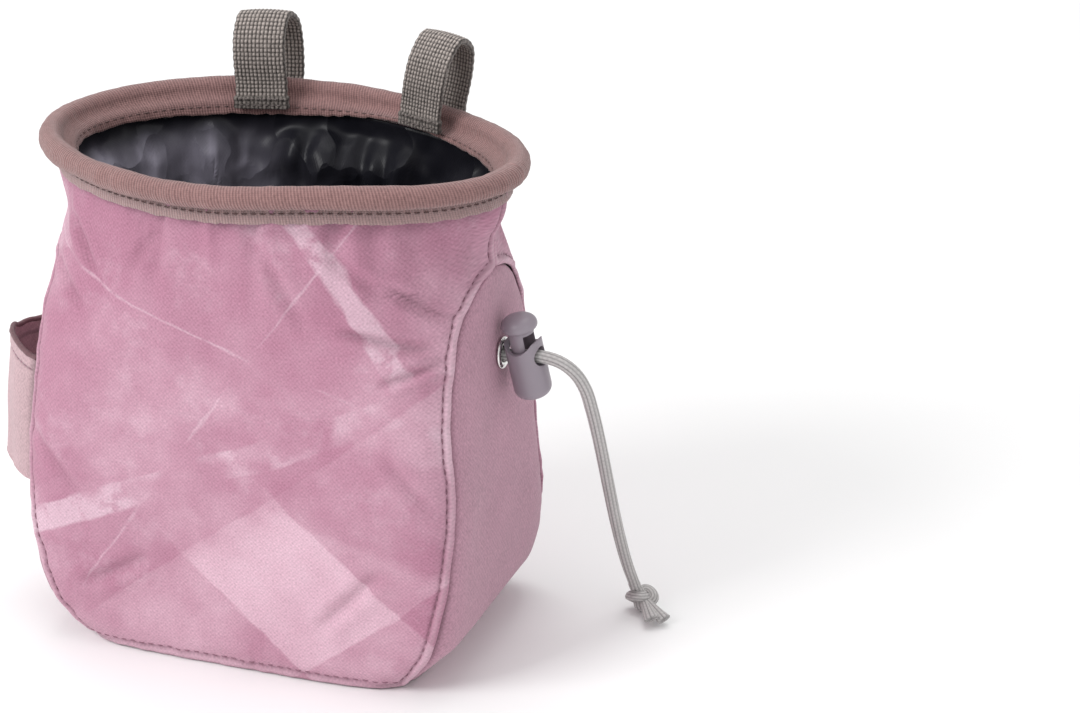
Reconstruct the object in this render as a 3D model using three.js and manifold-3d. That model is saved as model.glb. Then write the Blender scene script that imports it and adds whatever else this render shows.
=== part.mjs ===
// Climbing chalk bag: two printed panels joined by a gusset that also makes the base, a
// stiff rim roll in binding tape, a lining, two webbing belt loops, a brush sleeve, and a
// drawcord that leaves through an eyelet and a sprung cord lock and ends in a knot.
// Millimetres, +Z up. The origin is on the floor at the middle of the base, and the front
// of the bag faces -Y.

import * as THREE from 'three';
import { mergeVertices } from 'three/addons/utils/BufferGeometryUtils.js';
import Module from 'manifold-3d';

const wasm = await Module();
wasm.setup();

// Bag body
const RIM_HEIGHT = 148.9;
const BODY_HALF_WIDTH = 70;
const FRONT_DEPTH = 47.5;
const BACK_DEPTH = 44.7;

// Cloth, and the room left between pieces
const CLOTH = 1.2;
const LINING_CLOTH = 1;
const LINING_SLACK = 1.8;
const LINING_NECK_START = 0.8;
const LINING_NECK_END = 0.96;
const SEAM_GAP = 0.3;
const LAYER_GAP = 0.6;
const BASE_MARGIN = 4;
const LINING_FLOOR_REACH = 0.94;
const LINING_FLOOR_MIDDLE = 0.6;

// Rim roll and its binding tape
const ROLL_RADIUS = 3.4;
const ROLL_OVERHANG = 3.3;
const BINDING_TAPE = 1;
const BINDING_DROP = 8.4;
const BINDING_INNER_DROP = 5;
const PANEL_TUCK = 4.1;
const ROLL_STEPS = 11;
const ROLL_END = 165;

// Webbing belt loops
const WEBBING_WIDTH = 15.6;
const WEBBING_THICKNESS = 1.5;
const WEBBING_GAP = 0.6;
const LOOP_RISE = 25.6;
const LOOP_HEM = 2.5;
const LOOP_SPREAD = 2.6;
const LOOP_TAIL = 1.5;
const LEAN_START = 4;
const LOOP_STEPS = 30;

// Brush sleeve on the left gusset
const SLEEVE_BOTTOM = 46;
const SLEEVE_TOP = 86;
const SLEEVE_FRONT = -33;
const SLEEVE_WIDTH = 37;
const SLEEVE_BULGE_TOP = 17.5;
const SLEEVE_BULGE_BOTTOM = 20.5;

// Eyelet in the right gusset
const EYELET_HEIGHT = 94;
const EYELET_BORE = 2.6;
const EYELET_TUBE_WALL = 0.5;
const EYELET_FLANGE = 4.8;
const EYELET_LIP = 0.8;

// Drawcord
const CORD_RADIUS = 1.75;
const CORD_SIDES = 8;
const CORD_STEPS = 44;

// Cord lock, sizes along its own upright axis from the middle of the cord hole
const LOCK_RADIUS = 5.6;
const LOCK_BOTTOM = -13.1;
const LOCK_TOP = 5;
const LOCK_BORE = 4.2;
const LOCK_FLOOR = -9.2;
const LOCK_CORNER = 2.9;
const LOCK_HOLE_RADIUS = 2.9;
const LOCK_STAND_OFF = 0.7;
const LOCK_TILT_IN = 10;
const LOCK_TILT_FORWARD = 6;
const LOCK_TURN = 10;
const SADDLE_RADIUS = 5.3;
const SADDLE_DEPTH = 2.6;
const PLUNGER_CLEARANCE = 0.3;
const PLUNGER_TRAVEL = 3.2;
const PLUNGER_BOTTOM = -5.5;
const PLUNGER_SLOT_TOP = 7.2;
const HEAD_CLEARANCE = 0.3;
const HEAD_RADIUS = 5.4;
const HEAD_HEIGHT = 4.4;

// Knot at the end of the cord
const KNOT_RADIUS = 3.8;
const KNOT_TAIL_LENGTH = 12;
const KNOT_TAIL_RADIUS = 2.6;

// Fineness of the faceted surfaces
const PANEL_COLUMNS = 18;
const GUSSET_COLUMNS = 8;
const RING_COLUMNS = 44;
const ROUND_SIDES = 20;
const BASE_STEP = 6;

// Sections of the body. height is a share of RIM_HEIGHT, width of BODY_HALF_WIDTH, front of
// FRONT_DEPTH and back of BACK_DEPTH. square is the section's superellipse power: 2 is an
// ellipse, and a high power is nearly a rectangle.
const BODY_LEVELS = [
  { height: 0, width: 0.764, front: 0.893, back: 0.85, square: 5.4 },
  { height: 0.02, width: 0.787, front: 0.917, back: 0.89, square: 7.6 },
  { height: 0.054, width: 0.856, front: 0.942, back: 0.908, square: 8.8 },
  { height: 0.101, width: 0.941, front: 0.946, back: 0.923, square: 9.4 },
  { height: 0.168, width: 0.974, front: 0.956, back: 0.925, square: 10.2 },
  { height: 0.276, width: 0.991, front: 0.985, back: 0.9, square: 8.8 },
  { height: 0.404, width: 0.99, front: 1.006, back: 0.839, square: 7 },
  { height: 0.552, width: 0.971, front: 1, back: 0.85, square: 5.3 },
  { height: 0.673, width: 0.961, front: 0.985, back: 0.917, square: 4 },
  { height: 0.754, width: 0.957, front: 0.968, back: 0.99, square: 2.8 },
  { height: 0.815, width: 0.946, front: 0.947, back: 0.99, square: 2.4 },
  { height: 0.869, width: 0.923, front: 0.909, back: 0.98, square: 2.25 },
  { height: 0.935, width: 0.965, front: 0.912, back: 1.035, square: 1.93 },
  { height: 1, width: 0.965, front: 0.912, back: 1.035, square: 1.93 },
];

// Where the seams run round each section. height is a share of RIM_HEIGHT. front is the front
// panel's edge as a share of FRONT_DEPTH, and back the back panel's as a share of BACK_DEPTH,
// both signed with the back positive. Where the two meet there is no gusset.
const SEAM_LEVELS = [
  { height: 0.002, front: -0.737, back: 0.716 },
  { height: 0.02, front: -0.8, back: 0.772 },
  { height: 0.054, front: -0.853, back: 0.817 },
  { height: 0.101, front: -0.884, back: 0.85 },
  { height: 0.162, front: -0.893, back: 0.845 },
  { height: 0.276, front: -0.863, back: 0.74 },
  { height: 0.404, front: -0.796, back: 0.648 },
  { height: 0.552, front: -0.747, back: 0.626 },
  { height: 0.62, front: -0.695, back: 0.6 },
  { height: 0.673, front: -0.632, back: 0.55 },
  { height: 0.714, front: -0.558, back: 0.48 },
  { height: 0.754, front: -0.453, back: 0.38 },
  { height: 0.785, front: -0.326, back: 0.25 },
  { height: 0.805, front: -0.2, back: 0.11 },
  { height: 0.818, front: -0.055, back: -0.055 },
  { height: 0.869, front: -0.01, back: -0.01 },
  { height: 0.935, front: 0.035, back: 0.035 },
  { height: 0.967, front: 0.04, back: 0.04 },
];

// Where the rim stands above or below its height. turn and spread are in degrees.
const RIM_LIFTS = [
  { turn: -52, spread: 34, lift: 2.6 },
  { turn: 40, spread: 34, lift: -1.1 },
  { turn: 135, spread: 34, lift: 0.9 },
];

// Soft dents and puffs in the walls. turn is in degrees round the bag from +X, height and
// tall are shares of RIM_HEIGHT, wide is in degrees and depth in millimetres, inwards.
const FOLDS = [
  { turn: -35, height: 0.78, tall: 0.07, wide: 14, depth: 1.4 },
  { turn: -128, height: 0.82, tall: 0.07, wide: 14, depth: 1 },
  { turn: -70, height: 0.5, tall: 0.16, wide: 16, depth: -0.9 },
  { turn: -112, height: 0.28, tall: 0.12, wide: 14, depth: 0.8 },
  { turn: 90, height: 0.55, tall: 0.16, wide: 26, depth: -1.2 },
];

// Shape of the brush sleeve seen from above. along is a share of SLEEVE_WIDTH from the front
// seam, and out a share of the sleeve's bulge.
const SLEEVE_SECTION = [
  { along: 0, out: 0 },
  { along: 0.04, out: 0.16 },
  { along: 0.12, out: 0.36 },
  { along: 0.24, out: 0.58 },
  { along: 0.38, out: 0.78 },
  { along: 0.52, out: 0.93 },
  { along: 0.66, out: 1 },
  { along: 0.8, out: 0.95 },
  { along: 0.9, out: 0.76 },
  { along: 0.97, out: 0.42 },
  { along: 1, out: 0 },
];

// The two belt loops on the back rim. across is a share of BODY_HALF_WIDTH, lean is in
// degrees towards +X, and skew is how far the outer leg is sewn beside the inner one.
const BELT_LOOPS = [
  { name: 'belt_loop_left', across: -0.351, lean: -2.5, skew: 3 },
  { name: 'belt_loop_right', across: 0.445, lean: 11, skew: -2.5 },
];

// Route of the drawcord from the eyelet, through the lock, to the knot on the floor
const CORD_ROUTE = [
  [66.4, 0, 93.3],
  [69.5, 0.3, 93.3],
  [74.9, 0, 94],
  [80.4, -0.9, 94.8],
  [85.6, -0.6, 93.7],
  [89.2, 1.6, 90],
  [91.3, 5, 83.8],
  [92.5, 7.8, 76],
  [93.4, 10.8, 67],
  [94, 14.2, 57.4],
  [94.4, 18.2, 47],
  [94.9, 22, 36.8],
  [95.6, 25.6, 27],
  [96.9, 29, 16.8],
  [98.7, 32, 7.8],
];
const KNOT_PLACE = [100.5, 33, 3.9];
const KNOT_TAIL_END = [109, 22.5, 2.8];

// Colours
const PANEL_PINK = 0xe1c3d0;
const GUSSET_MAUVE = 0xac8493;
const BINDING_ROSE = 0xaf8c87;
const LINING_GREY = 0x46464e;
const WEBBING_TAUPE = 0x827a76;
const LOCK_GREY = 0x968e94;
const CORD_GREY = 0xafa8a8;
const SLEEVE_ROSE = 0xcdb4b9;
const METAL_SILVER = 0xd8d8d8;

const bag = new THREE.Group();

function material(color, roughness, metalness = 0) {
  return new THREE.MeshStandardMaterial({ color, roughness, metalness });
}

function addMesh(name, geometry, finish, parent = bag) {
  const mesh = new THREE.Mesh(geometry, finish);
  mesh.name = name;
  parent.add(mesh);
  return mesh;
}

// Tables

// A smooth curve through one column of a table, that never swings past its rows.
function columnAt(table, key, height) {
  const last = table.length - 1;
  const at = Math.min(Math.max(height, table[0].height), table[last].height);
  let row = 0;
  while (row < last - 1 && at > table[row + 1].height) {
    row += 1;
  }
  const slope = (i) => {
    const from = Math.min(Math.max(i, 0), last - 1);
    return (table[from + 1][key] - table[from][key]) / (table[from + 1].height - table[from].height);
  };
  const tangent = (i) => {
    const before = slope(i - 1);
    const after = slope(i);
    return before * after <= 0 ? 0 : (2 * before * after) / (before + after);
  };
  const span = table[row + 1].height - table[row].height;
  const t = (at - table[row].height) / span;
  const square = t * t;
  const cube = square * t;
  return (
    (2 * cube - 3 * square + 1) * table[row][key] +
    (cube - 2 * square + t) * span * tangent(row) +
    (3 * square - 2 * cube) * table[row + 1][key] +
    (cube - square) * span * tangent(row + 1)
  );
}

// Body surface

function bump(distance, spread) {
  return Math.exp(-((distance / spread) ** 2));
}

function turnBetween(a, b) {
  return THREE.MathUtils.euclideanModulo(a - b + 180, 360) - 180;
}

function section(z) {
  const height = z / RIM_HEIGHT;
  return {
    width: columnAt(BODY_LEVELS, 'width', height) * BODY_HALF_WIDTH,
    front: columnAt(BODY_LEVELS, 'front', height) * FRONT_DEPTH,
    back: columnAt(BODY_LEVELS, 'back', height) * BACK_DEPTH,
    square: columnAt(BODY_LEVELS, 'square', height),
  };
}

function rimLift(turn) {
  return RIM_LIFTS.reduce((sum, { turn: middle, spread, lift }) => {
    return sum + lift * bump(turnBetween(turn, middle), spread);
  }, 0);
}

function foldDepth(turn, z) {
  return FOLDS.reduce((sum, fold) => {
    const around = bump(turnBetween(turn, fold.turn), fold.wide);
    const along = bump(z / RIM_HEIGHT - fold.height, fold.tall);
    return sum + fold.depth * around * along;
  }, 0);
}

// A point of the outer surface, at a turn in degrees round the bag and a height.
function surfacePoint(turn, z) {
  const { width, front, back, square } = section(z);
  const angle = THREE.MathUtils.degToRad(turn);
  const c = Math.cos(angle);
  const s = Math.sin(angle);
  const depth = s < 0 ? front : back;
  const reach = (Math.abs(c / width) ** square + Math.abs(s / depth) ** square) ** (-1 / square);
  const neck = THREE.MathUtils.smoothstep(z / RIM_HEIGHT, 0.72, 0.93);
  const radius = reach - foldDepth(turn, z) * (1 - neck);
  return new THREE.Vector3(radius * c, radius * s, z + rimLift(turn) * neck);
}

function surfaceNormal(turn, z) {
  const step = 0.25;
  const low = Math.max(z - step, 0);
  const high = Math.min(z + step, RIM_HEIGHT);
  const around = surfacePoint(turn + step, z).sub(surfacePoint(turn - step, z));
  const up = surfacePoint(turn, high).sub(surfacePoint(turn, low));
  return around.cross(up).normalize();
}

// A point set in from the outer surface by a thickness of cloth.
function insetPoint(turn, z, inset) {
  return surfacePoint(turn, z).addScaledVector(surfaceNormal(turn, z), -inset);
}

// The turn in degrees at which a seam lies on the right side, from its share of the depth.
function seamTurn(z, key, offset) {
  const { width, front, back, square } = section(z);
  const share = columnAt(SEAM_LEVELS, key, z / RIM_HEIGHT);
  const across = share * (key === 'front' ? FRONT_DEPTH : BACK_DEPTH);
  const depth = across < 0 ? front : back;
  const out = width * (1 - Math.abs(across / depth) ** square) ** (1 / square);
  const turn = Math.atan2(across, out) + offset / Math.hypot(across, out);
  return THREE.MathUtils.radToDeg(turn);
}

// Solids from grids of points

function volumeOf(points, faces) {
  return faces.reduce((sum, [a, b, c]) => {
    return sum + points[a].dot(points[b].clone().cross(points[c])) / 6;
  }, 0);
}

function closedGeometry(points, faces) {
  const outward = volumeOf(points, faces) < 0 ? faces.map(([a, b, c]) => [a, c, b]) : faces;
  const geometry = new THREE.BufferGeometry();
  geometry.setAttribute(
    'position',
    new THREE.Float32BufferAttribute(points.flatMap((p) => [p.x, p.y, p.z]), 3)
  );
  geometry.setIndex(outward.flat());
  geometry.computeVertexNormals();
  return geometry;
}

function quad(faces, a, b, c, d) {
  faces.push([a, b, c], [a, c, d]);
}

// A sheet with thickness: two equal grids of rows, joined along their four edges.
function sheetGeometry(outer, inner) {
  const rows = outer.length;
  const columns = outer[0].length;
  const points = [...outer.flat(), ...inner.flat()];
  const faces = [];
  const out = (i, j) => i * columns + j;
  const back = (i, j) => rows * columns + i * columns + j;
  for (let i = 0; i < rows - 1; i += 1) {
    for (let j = 0; j < columns - 1; j += 1) {
      quad(faces, out(i, j), out(i, j + 1), out(i + 1, j + 1), out(i + 1, j));
      quad(faces, back(i, j), back(i + 1, j), back(i + 1, j + 1), back(i, j + 1));
    }
    const end = columns - 1;
    quad(faces, out(i, 0), out(i + 1, 0), back(i + 1, 0), back(i, 0));
    quad(faces, out(i, end), back(i, end), back(i + 1, end), out(i + 1, end));
  }
  for (let j = 0; j < columns - 1; j += 1) {
    const top = rows - 1;
    quad(faces, out(0, j), back(0, j), back(0, j + 1), out(0, j + 1));
    quad(faces, out(top, j), out(top, j + 1), back(top, j + 1), back(top, j));
  }
  return closedGeometry(points, faces);
}

// A closed skin of rings: capped at both ends, or joined end to end into a ring of rings.
function ringGeometry(rings, joined) {
  const size = rings[0].length;
  const points = rings.flat();
  const faces = [];
  const bands = joined ? rings.length : rings.length - 1;
  for (let i = 0; i < bands; i += 1) {
    const next = (i + 1) % rings.length;
    for (let j = 0; j < size; j += 1) {
      const k = (j + 1) % size;
      quad(faces, i * size + j, i * size + k, next * size + k, next * size + j);
    }
  }
  if (!joined) {
    const centres = [rings[0], rings[rings.length - 1]].map((ring) => {
      const sum = ring.reduce((total, p) => total.add(p), new THREE.Vector3());
      return points.push(sum.divideScalar(size)) - 1;
    });
    const last = (rings.length - 1) * size;
    for (let j = 0; j < size; j += 1) {
      const k = (j + 1) % size;
      faces.push([centres[0], k, j], [centres[1], last + j, last + k]);
    }
  }
  return closedGeometry(points, faces);
}

// Joining and cutting

function toSolid(geometry) {
  const bare = geometry.clone();
  bare.deleteAttribute('normal');
  bare.deleteAttribute('uv');
  const merged = mergeVertices(bare, 1e-4);
  const vertProperties = new Float32Array(merged.attributes.position.array);
  const triVerts = new Uint32Array(merged.index.array);
  return new wasm.Manifold(new wasm.Mesh({ numProp: 3, vertProperties, triVerts }));
}

function fromSolid(solid) {
  const mesh = solid.getMesh();
  const geometry = new THREE.BufferGeometry();
  geometry.setAttribute('position', new THREE.BufferAttribute(mesh.vertProperties, 3));
  geometry.setIndex(new THREE.BufferAttribute(mesh.triVerts, 1));
  geometry.computeVertexNormals();
  return geometry;
}

function join(geometries) {
  return fromSolid(geometries.map(toSolid).reduce((sum, solid) => sum.add(solid)));
}

function cut(geometry, tools) {
  return fromSolid(tools.map(toSolid).reduce((left, tool) => left.subtract(tool), toSolid(geometry)));
}

// Printed panels

function panelGrid(inset, turnsAt) {
  return SEAM_LEVELS.map(({ height }, row) => {
    const top = row === SEAM_LEVELS.length - 1;
    const z = top ? RIM_HEIGHT - PANEL_TUCK : height * RIM_HEIGHT;
    const [from, to] = turnsAt(z);
    return Array.from({ length: PANEL_COLUMNS + 1 }, (_, column) => {
      return insetPoint(from + ((to - from) * column) / PANEL_COLUMNS, z, inset);
    });
  });
}

function frontTurns(z) {
  const side = seamTurn(z, 'front', -SEAM_GAP / 2);
  return [-180 - side, side];
}

function backTurns(z) {
  const side = seamTurn(z, 'back', SEAM_GAP / 2);
  return [side, 180 - side];
}

const panelFinish = material(PANEL_PINK, 0.85);
for (const [name, turnsAt] of [['front_panel', frontTurns], ['back_panel', backTurns]]) {
  addMesh(name, sheetGeometry(panelGrid(0, turnsAt), panelGrid(CLOTH, turnsAt)), panelFinish);
}

// Gusset: a band from one arch, down the side, under the bag and up to the other arch

const ARCH_ROW = SEAM_LEVELS.findIndex((level) => level.front === level.back);
const gussetHeights = [0, ...SEAM_LEVELS.slice(0, ARCH_ROW).map((level) => level.height * RIM_HEIGHT)];
gussetHeights.push((SEAM_LEVELS[ARCH_ROW - 1].height + SEAM_LEVELS[ARCH_ROW].height) * RIM_HEIGHT / 2);

function gussetGrid(inset, mirrored) {
  return gussetHeights.map((z) => {
    const from = seamTurn(z, 'front', SEAM_GAP / 2);
    const to = seamTurn(z, 'back', -SEAM_GAP / 2);
    return Array.from({ length: GUSSET_COLUMNS + 1 }, (_, column) => {
      const turn = from + ((to - from) * column) / GUSSET_COLUMNS;
      return insetPoint(mirrored ? 180 - turn : turn, z, inset);
    });
  });
}

// The base reaches out to the gusset sides and stays inside the two panels.
function baseGeometry() {
  const from = seamTurn(0, 'front', 0) + BASE_MARGIN;
  const to = seamTurn(0, 'back', 0) - BASE_MARGIN;
  const outline = [];
  for (let turn = -180; turn < 180; turn += BASE_STEP) {
    const side = Math.abs(turn) > 90 ? Math.sign(turn) * (180 - Math.abs(turn)) : turn;
    const inset = side > from && side < to ? CLOTH / 3 : CLOTH + LAYER_GAP + SEAM_GAP;
    const p = surfacePoint(turn, 0);
    const inward = p.clone().setLength(inset);
    outline.push(new THREE.Vector2(p.x - inward.x, p.y - inward.y));
  }
  return new THREE.ExtrudeGeometry(new THREE.Shape(outline), { depth: CLOTH, bevelEnabled: false });
}

function roundHole(centre, direction, radius, length) {
  const hole = new THREE.CylinderGeometry(radius, radius, length, ROUND_SIDES);
  hole.applyQuaternion(new THREE.Quaternion().setFromUnitVectors(new THREE.Vector3(0, 1, 0), direction));
  return hole.translate(centre.x, centre.y, centre.z);
}

const eyeletCentre = surfacePoint(0, EYELET_HEIGHT);
const eyeletNormal = surfaceNormal(0, EYELET_HEIGHT);
const eyeletTube = EYELET_BORE + EYELET_TUBE_WALL;
const gussetBand = join([
  sheetGeometry(gussetGrid(0, false), gussetGrid(CLOTH, false)),
  baseGeometry(),
  sheetGeometry(gussetGrid(0, true), gussetGrid(CLOTH, true)),
]);
const gussetHole = roundHole(eyeletCentre, eyeletNormal, eyeletTube + SEAM_GAP, 8 * CLOTH);
addMesh('gusset', cut(gussetBand, [gussetHole]), material(GUSSET_MAUVE, 0.8));

// Lining: a sack that hangs a little clear of the walls

const LINING_FLOOR = CLOTH + LAYER_GAP + SEAM_GAP;
const liningHeights = SEAM_LEVELS.slice(2, -1).map((level) => level.height * RIM_HEIGHT);
liningHeights.push(RIM_HEIGHT - PANEL_TUCK);

function liningRing(z, inset) {
  const neck = THREE.MathUtils.smoothstep(z / RIM_HEIGHT, LINING_NECK_START, LINING_NECK_END);
  const depth = CLOTH + LAYER_GAP + LINING_SLACK * (1 - neck) + inset;
  return Array.from({ length: RING_COLUMNS }, (_, column) => {
    return insetPoint((360 * column) / RING_COLUMNS, z, depth);
  });
}

function liningFloorRing(z, share) {
  const height = BODY_LEVELS[1].height * RIM_HEIGHT;
  return liningRing(height, 0).map((p) => new THREE.Vector3(p.x * share, p.y * share, z));
}

function liningGeometry() {
  const outer = liningHeights.map((z) => liningRing(z, 0));
  const inner = liningHeights.map((z) => liningRing(z, LINING_CLOTH)).reverse();
  const floorTop = LINING_FLOOR + LINING_CLOTH;
  return ringGeometry(
    [
      liningFloorRing(LINING_FLOOR, LINING_FLOOR_MIDDLE),
      liningFloorRing(LINING_FLOOR, LINING_FLOOR_REACH),
      ...outer,
      ...inner,
      liningFloorRing(floorTop, LINING_FLOOR_REACH),
      liningFloorRing(floorTop, LINING_FLOOR_MIDDLE),
    ],
    false
  );
}

addMesh('lining', liningGeometry(), material(LINING_GREY, 0.45));

// Rim: a stiff roll in binding tape, with a flap of tape on each side of the walls

// Distances out from the panel's outer face at which the tape's faces lie
const flapOuterIn = LAYER_GAP;
const flapOuterOut = flapOuterIn + BINDING_TAPE;
const flapInnerOut = -(CLOTH + LAYER_GAP + LINING_CLOTH + LAYER_GAP);
const flapInnerIn = flapInnerOut - BINDING_TAPE;

function bindingSection() {
  const start = -Math.acos((flapOuterOut - ROLL_OVERHANG) / ROLL_RADIUS);
  const end = THREE.MathUtils.degToRad(ROLL_END);
  const slotTop = SEAM_GAP - PANEL_TUCK;
  const outline = Array.from({ length: ROLL_STEPS + 1 }, (_, step) => {
    const angle = start + ((end - start) * step) / ROLL_STEPS;
    return [ROLL_OVERHANG + ROLL_RADIUS * Math.cos(angle), ROLL_RADIUS * Math.sin(angle)];
  });
  outline.push(
    [flapInnerIn, slotTop + BINDING_TAPE],
    [flapInnerIn, -BINDING_INNER_DROP],
    [flapInnerOut, -BINDING_INNER_DROP],
    [flapInnerOut, slotTop],
    [flapOuterIn, slotTop],
    [flapOuterIn, -BINDING_DROP],
    [flapOuterOut, -BINDING_DROP]
  );
  return outline;
}

// Places a point of a rim section: a distance out from the panel's face and a rise from the
// middle of the roll.
function rimPoint(turn, out, rise) {
  const p = surfacePoint(turn, RIM_HEIGHT);
  const normal = surfaceNormal(turn, RIM_HEIGHT).setZ(0).normalize();
  return p.addScaledVector(normal, out).add(new THREE.Vector3(0, 0, rise));
}

function bindingGeometry() {
  const outline = bindingSection();
  const rings = Array.from({ length: RING_COLUMNS }, (_, column) => {
    const turn = (360 * column) / RING_COLUMNS;
    return outline.map(([out, rise]) => rimPoint(turn, out, rise));
  });
  return ringGeometry(rings, true);
}

addMesh('rim_binding', bindingGeometry(), material(BINDING_ROSE, 0.85));

// Belt loops: webbing sewn inside the rim, up, over and down the outside of the roll

// The middle line of the webbing, as distance out from the panel's face and rise from the
// middle of the roll.
function loopLine() {
  const half = WEBBING_THICKNESS / 2;
  const inside = flapInnerIn - WEBBING_GAP - half;
  const wrap = ROLL_RADIUS + WEBBING_GAP + half;
  const outside = ROLL_OVERHANG + wrap;
  const tail = flapOuterOut + WEBBING_GAP + half;
  const top = LOOP_RISE - half;
  const middle = (inside + outside) / 2;
  const depth = outside - inside;
  const roundRoll = (degrees) => {
    const angle = THREE.MathUtils.degToRad(degrees);
    return [ROLL_OVERHANG + wrap * Math.cos(angle), wrap * Math.sin(angle)];
  };
  return [
    [inside, -LOOP_HEM],
    [inside, -LOOP_HEM / 4],
    [inside + 0.02 * depth, 0.2 * top],
    [inside + 0.06 * depth - 0.3 * LOOP_SPREAD, 0.5 * top],
    [inside + 0.18 * depth - 0.3 * LOOP_SPREAD, 0.8 * top],
    [middle, top],
    [outside - 0.17 * depth + LOOP_SPREAD, 0.84 * top],
    [outside - 0.04 * depth + LOOP_SPREAD, 0.55 * top],
    [outside + 0.5 * LOOP_SPREAD, 0.2 * top],
    [outside, 0],
    roundRoll(-30),
    roundRoll(-60),
    roundRoll(-85),
    [tail, -BINDING_DROP + SEAM_GAP],
    [tail, -BINDING_DROP - LOOP_TAIL],
  ];
}

function loopGeometry(lean, skew) {
  const line = loopLine().map(([out, rise]) => new THREE.Vector3(out, rise, 0));
  const curve = new THREE.CatmullRomCurve3(line, false, 'centripetal');
  const sideAt = (step, side) => {
    const p = curve.getPoint(step / LOOP_STEPS);
    const along = curve.getTangent(step / LOOP_STEPS);
    const offset = (side * WEBBING_THICKNESS) / 2;
    return new THREE.Vector2(p.x - along.y * offset, p.y + along.x * offset);
  };
  const indices = Array.from({ length: LOOP_STEPS + 1 }, (_, step) => step);
  const outline = [
    ...indices.map((step) => sideAt(step, 1)),
    ...indices.reverse().map((step) => sideAt(step, -1)),
  ];
  const geometry = new THREE.ExtrudeGeometry(new THREE.Shape(outline), {
    depth: WEBBING_WIDTH,
    bevelEnabled: false,
  });
  geometry.translate(0, 0, -WEBBING_WIDTH / 2);
  const position = geometry.attributes.position;
  const slope = Math.tan(THREE.MathUtils.degToRad(lean));
  for (let i = 0; i < position.count; i += 1) {
    const rise = Math.max(position.getY(i) - LEAN_START, 0);
    const across = (position.getX(i) - line[0].x) / (line[9].x - line[0].x);
    position.setZ(i, position.getZ(i) + slope * rise + skew * across);
  }
  return geometry;
}

const webbingFinish = material(WEBBING_TAUPE, 0.9);
for (const { name, across, lean, skew } of BELT_LOOPS) {
  const { width, back, square } = section(RIM_HEIGHT);
  const x = across * BODY_HALF_WIDTH;
  const y = back * (1 - Math.abs(x / width) ** square) ** (1 / square);
  const turn = THREE.MathUtils.radToDeg(Math.atan2(y, x));
  const outward = surfaceNormal(turn, RIM_HEIGHT).setZ(0).normalize();
  const up = new THREE.Vector3(0, 0, 1);
  const frame = new THREE.Matrix4().makeBasis(outward, up, outward.clone().cross(up));
  frame.setPosition(surfacePoint(turn, RIM_HEIGHT));
  addMesh(name, loopGeometry(lean, skew), webbingFinish).applyMatrix4(frame);
}

// Brush sleeve: a band of cloth that stands off the left gusset, open above and below

function gussetFace(y, z) {
  const { width, front, back, square } = section(z);
  const depth = y < 0 ? front : back;
  return width * (1 - Math.abs(y / depth) ** square) ** (1 / square);
}

function sleeveGrid(side) {
  const levels = 5;
  const clear = SEAM_GAP + CLOTH / 4;
  return Array.from({ length: levels }, (_, level) => {
    const share = level / (levels - 1);
    const z = THREE.MathUtils.lerp(SLEEVE_BOTTOM, SLEEVE_TOP, share);
    const bulge = THREE.MathUtils.lerp(SLEEVE_BULGE_BOTTOM, SLEEVE_BULGE_TOP, share);
    const line = SLEEVE_SECTION.map(({ along, out }) => {
      const y = SLEEVE_FRONT + along * SLEEVE_WIDTH;
      return new THREE.Vector3(-gussetFace(y, z) - clear - out * bulge, y, z);
    });
    return line.map((p, i) => {
      const before = line[Math.max(i - 1, 0)];
      const after = line[Math.min(i + 1, line.length - 1)];
      const along = after.clone().sub(before).normalize();
      const offset = (side * CLOTH) / 2;
      return new THREE.Vector3(p.x - along.y * offset, p.y + along.x * offset, z);
    });
  });
}

addMesh('brush_sleeve', sheetGeometry(sleeveGrid(1), sleeveGrid(-1)), material(SLEEVE_ROSE, 0.85));

// Eyelet: a flanged tube set through the gusset

function lathe(profile) {
  const points = profile.map(([radius, along]) => new THREE.Vector2(radius, along));
  return new THREE.LatheGeometry(points, ROUND_SIDES);
}

const flangeFace = SEAM_GAP + EYELET_LIP;
const eyeletGeometry = lathe([
  [EYELET_BORE, -CLOTH - SEAM_GAP],
  [eyeletTube, -CLOTH - SEAM_GAP],
  [eyeletTube, SEAM_GAP],
  [EYELET_FLANGE, SEAM_GAP],
  [EYELET_FLANGE, SEAM_GAP + EYELET_LIP / 2],
  [EYELET_FLANGE - EYELET_LIP / 2, flangeFace],
  [eyeletTube, flangeFace],
  [EYELET_BORE, flangeFace - EYELET_LIP / 4],
  [EYELET_BORE, -CLOTH - SEAM_GAP],
]);
const eyelet = addMesh('eyelet', eyeletGeometry, material(METAL_SILVER, 0.25, 1));
eyelet.position.copy(eyeletCentre);
eyelet.quaternion.setFromUnitVectors(new THREE.Vector3(0, 1, 0), eyeletNormal);

// Cord lock: a barrel with a cord hole, and a plunger that slides in it

const lock = new THREE.Group();
const lockOffset = flangeFace + LOCK_STAND_OFF + LOCK_RADIUS;
lock.position.copy(eyeletCentre.clone().addScaledVector(eyeletNormal, lockOffset));
lock.rotation.set(
  THREE.MathUtils.degToRad(LOCK_TILT_FORWARD),
  THREE.MathUtils.degToRad(-LOCK_TILT_IN),
  THREE.MathUtils.degToRad(-LOCK_TURN)
);
bag.add(lock);

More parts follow.
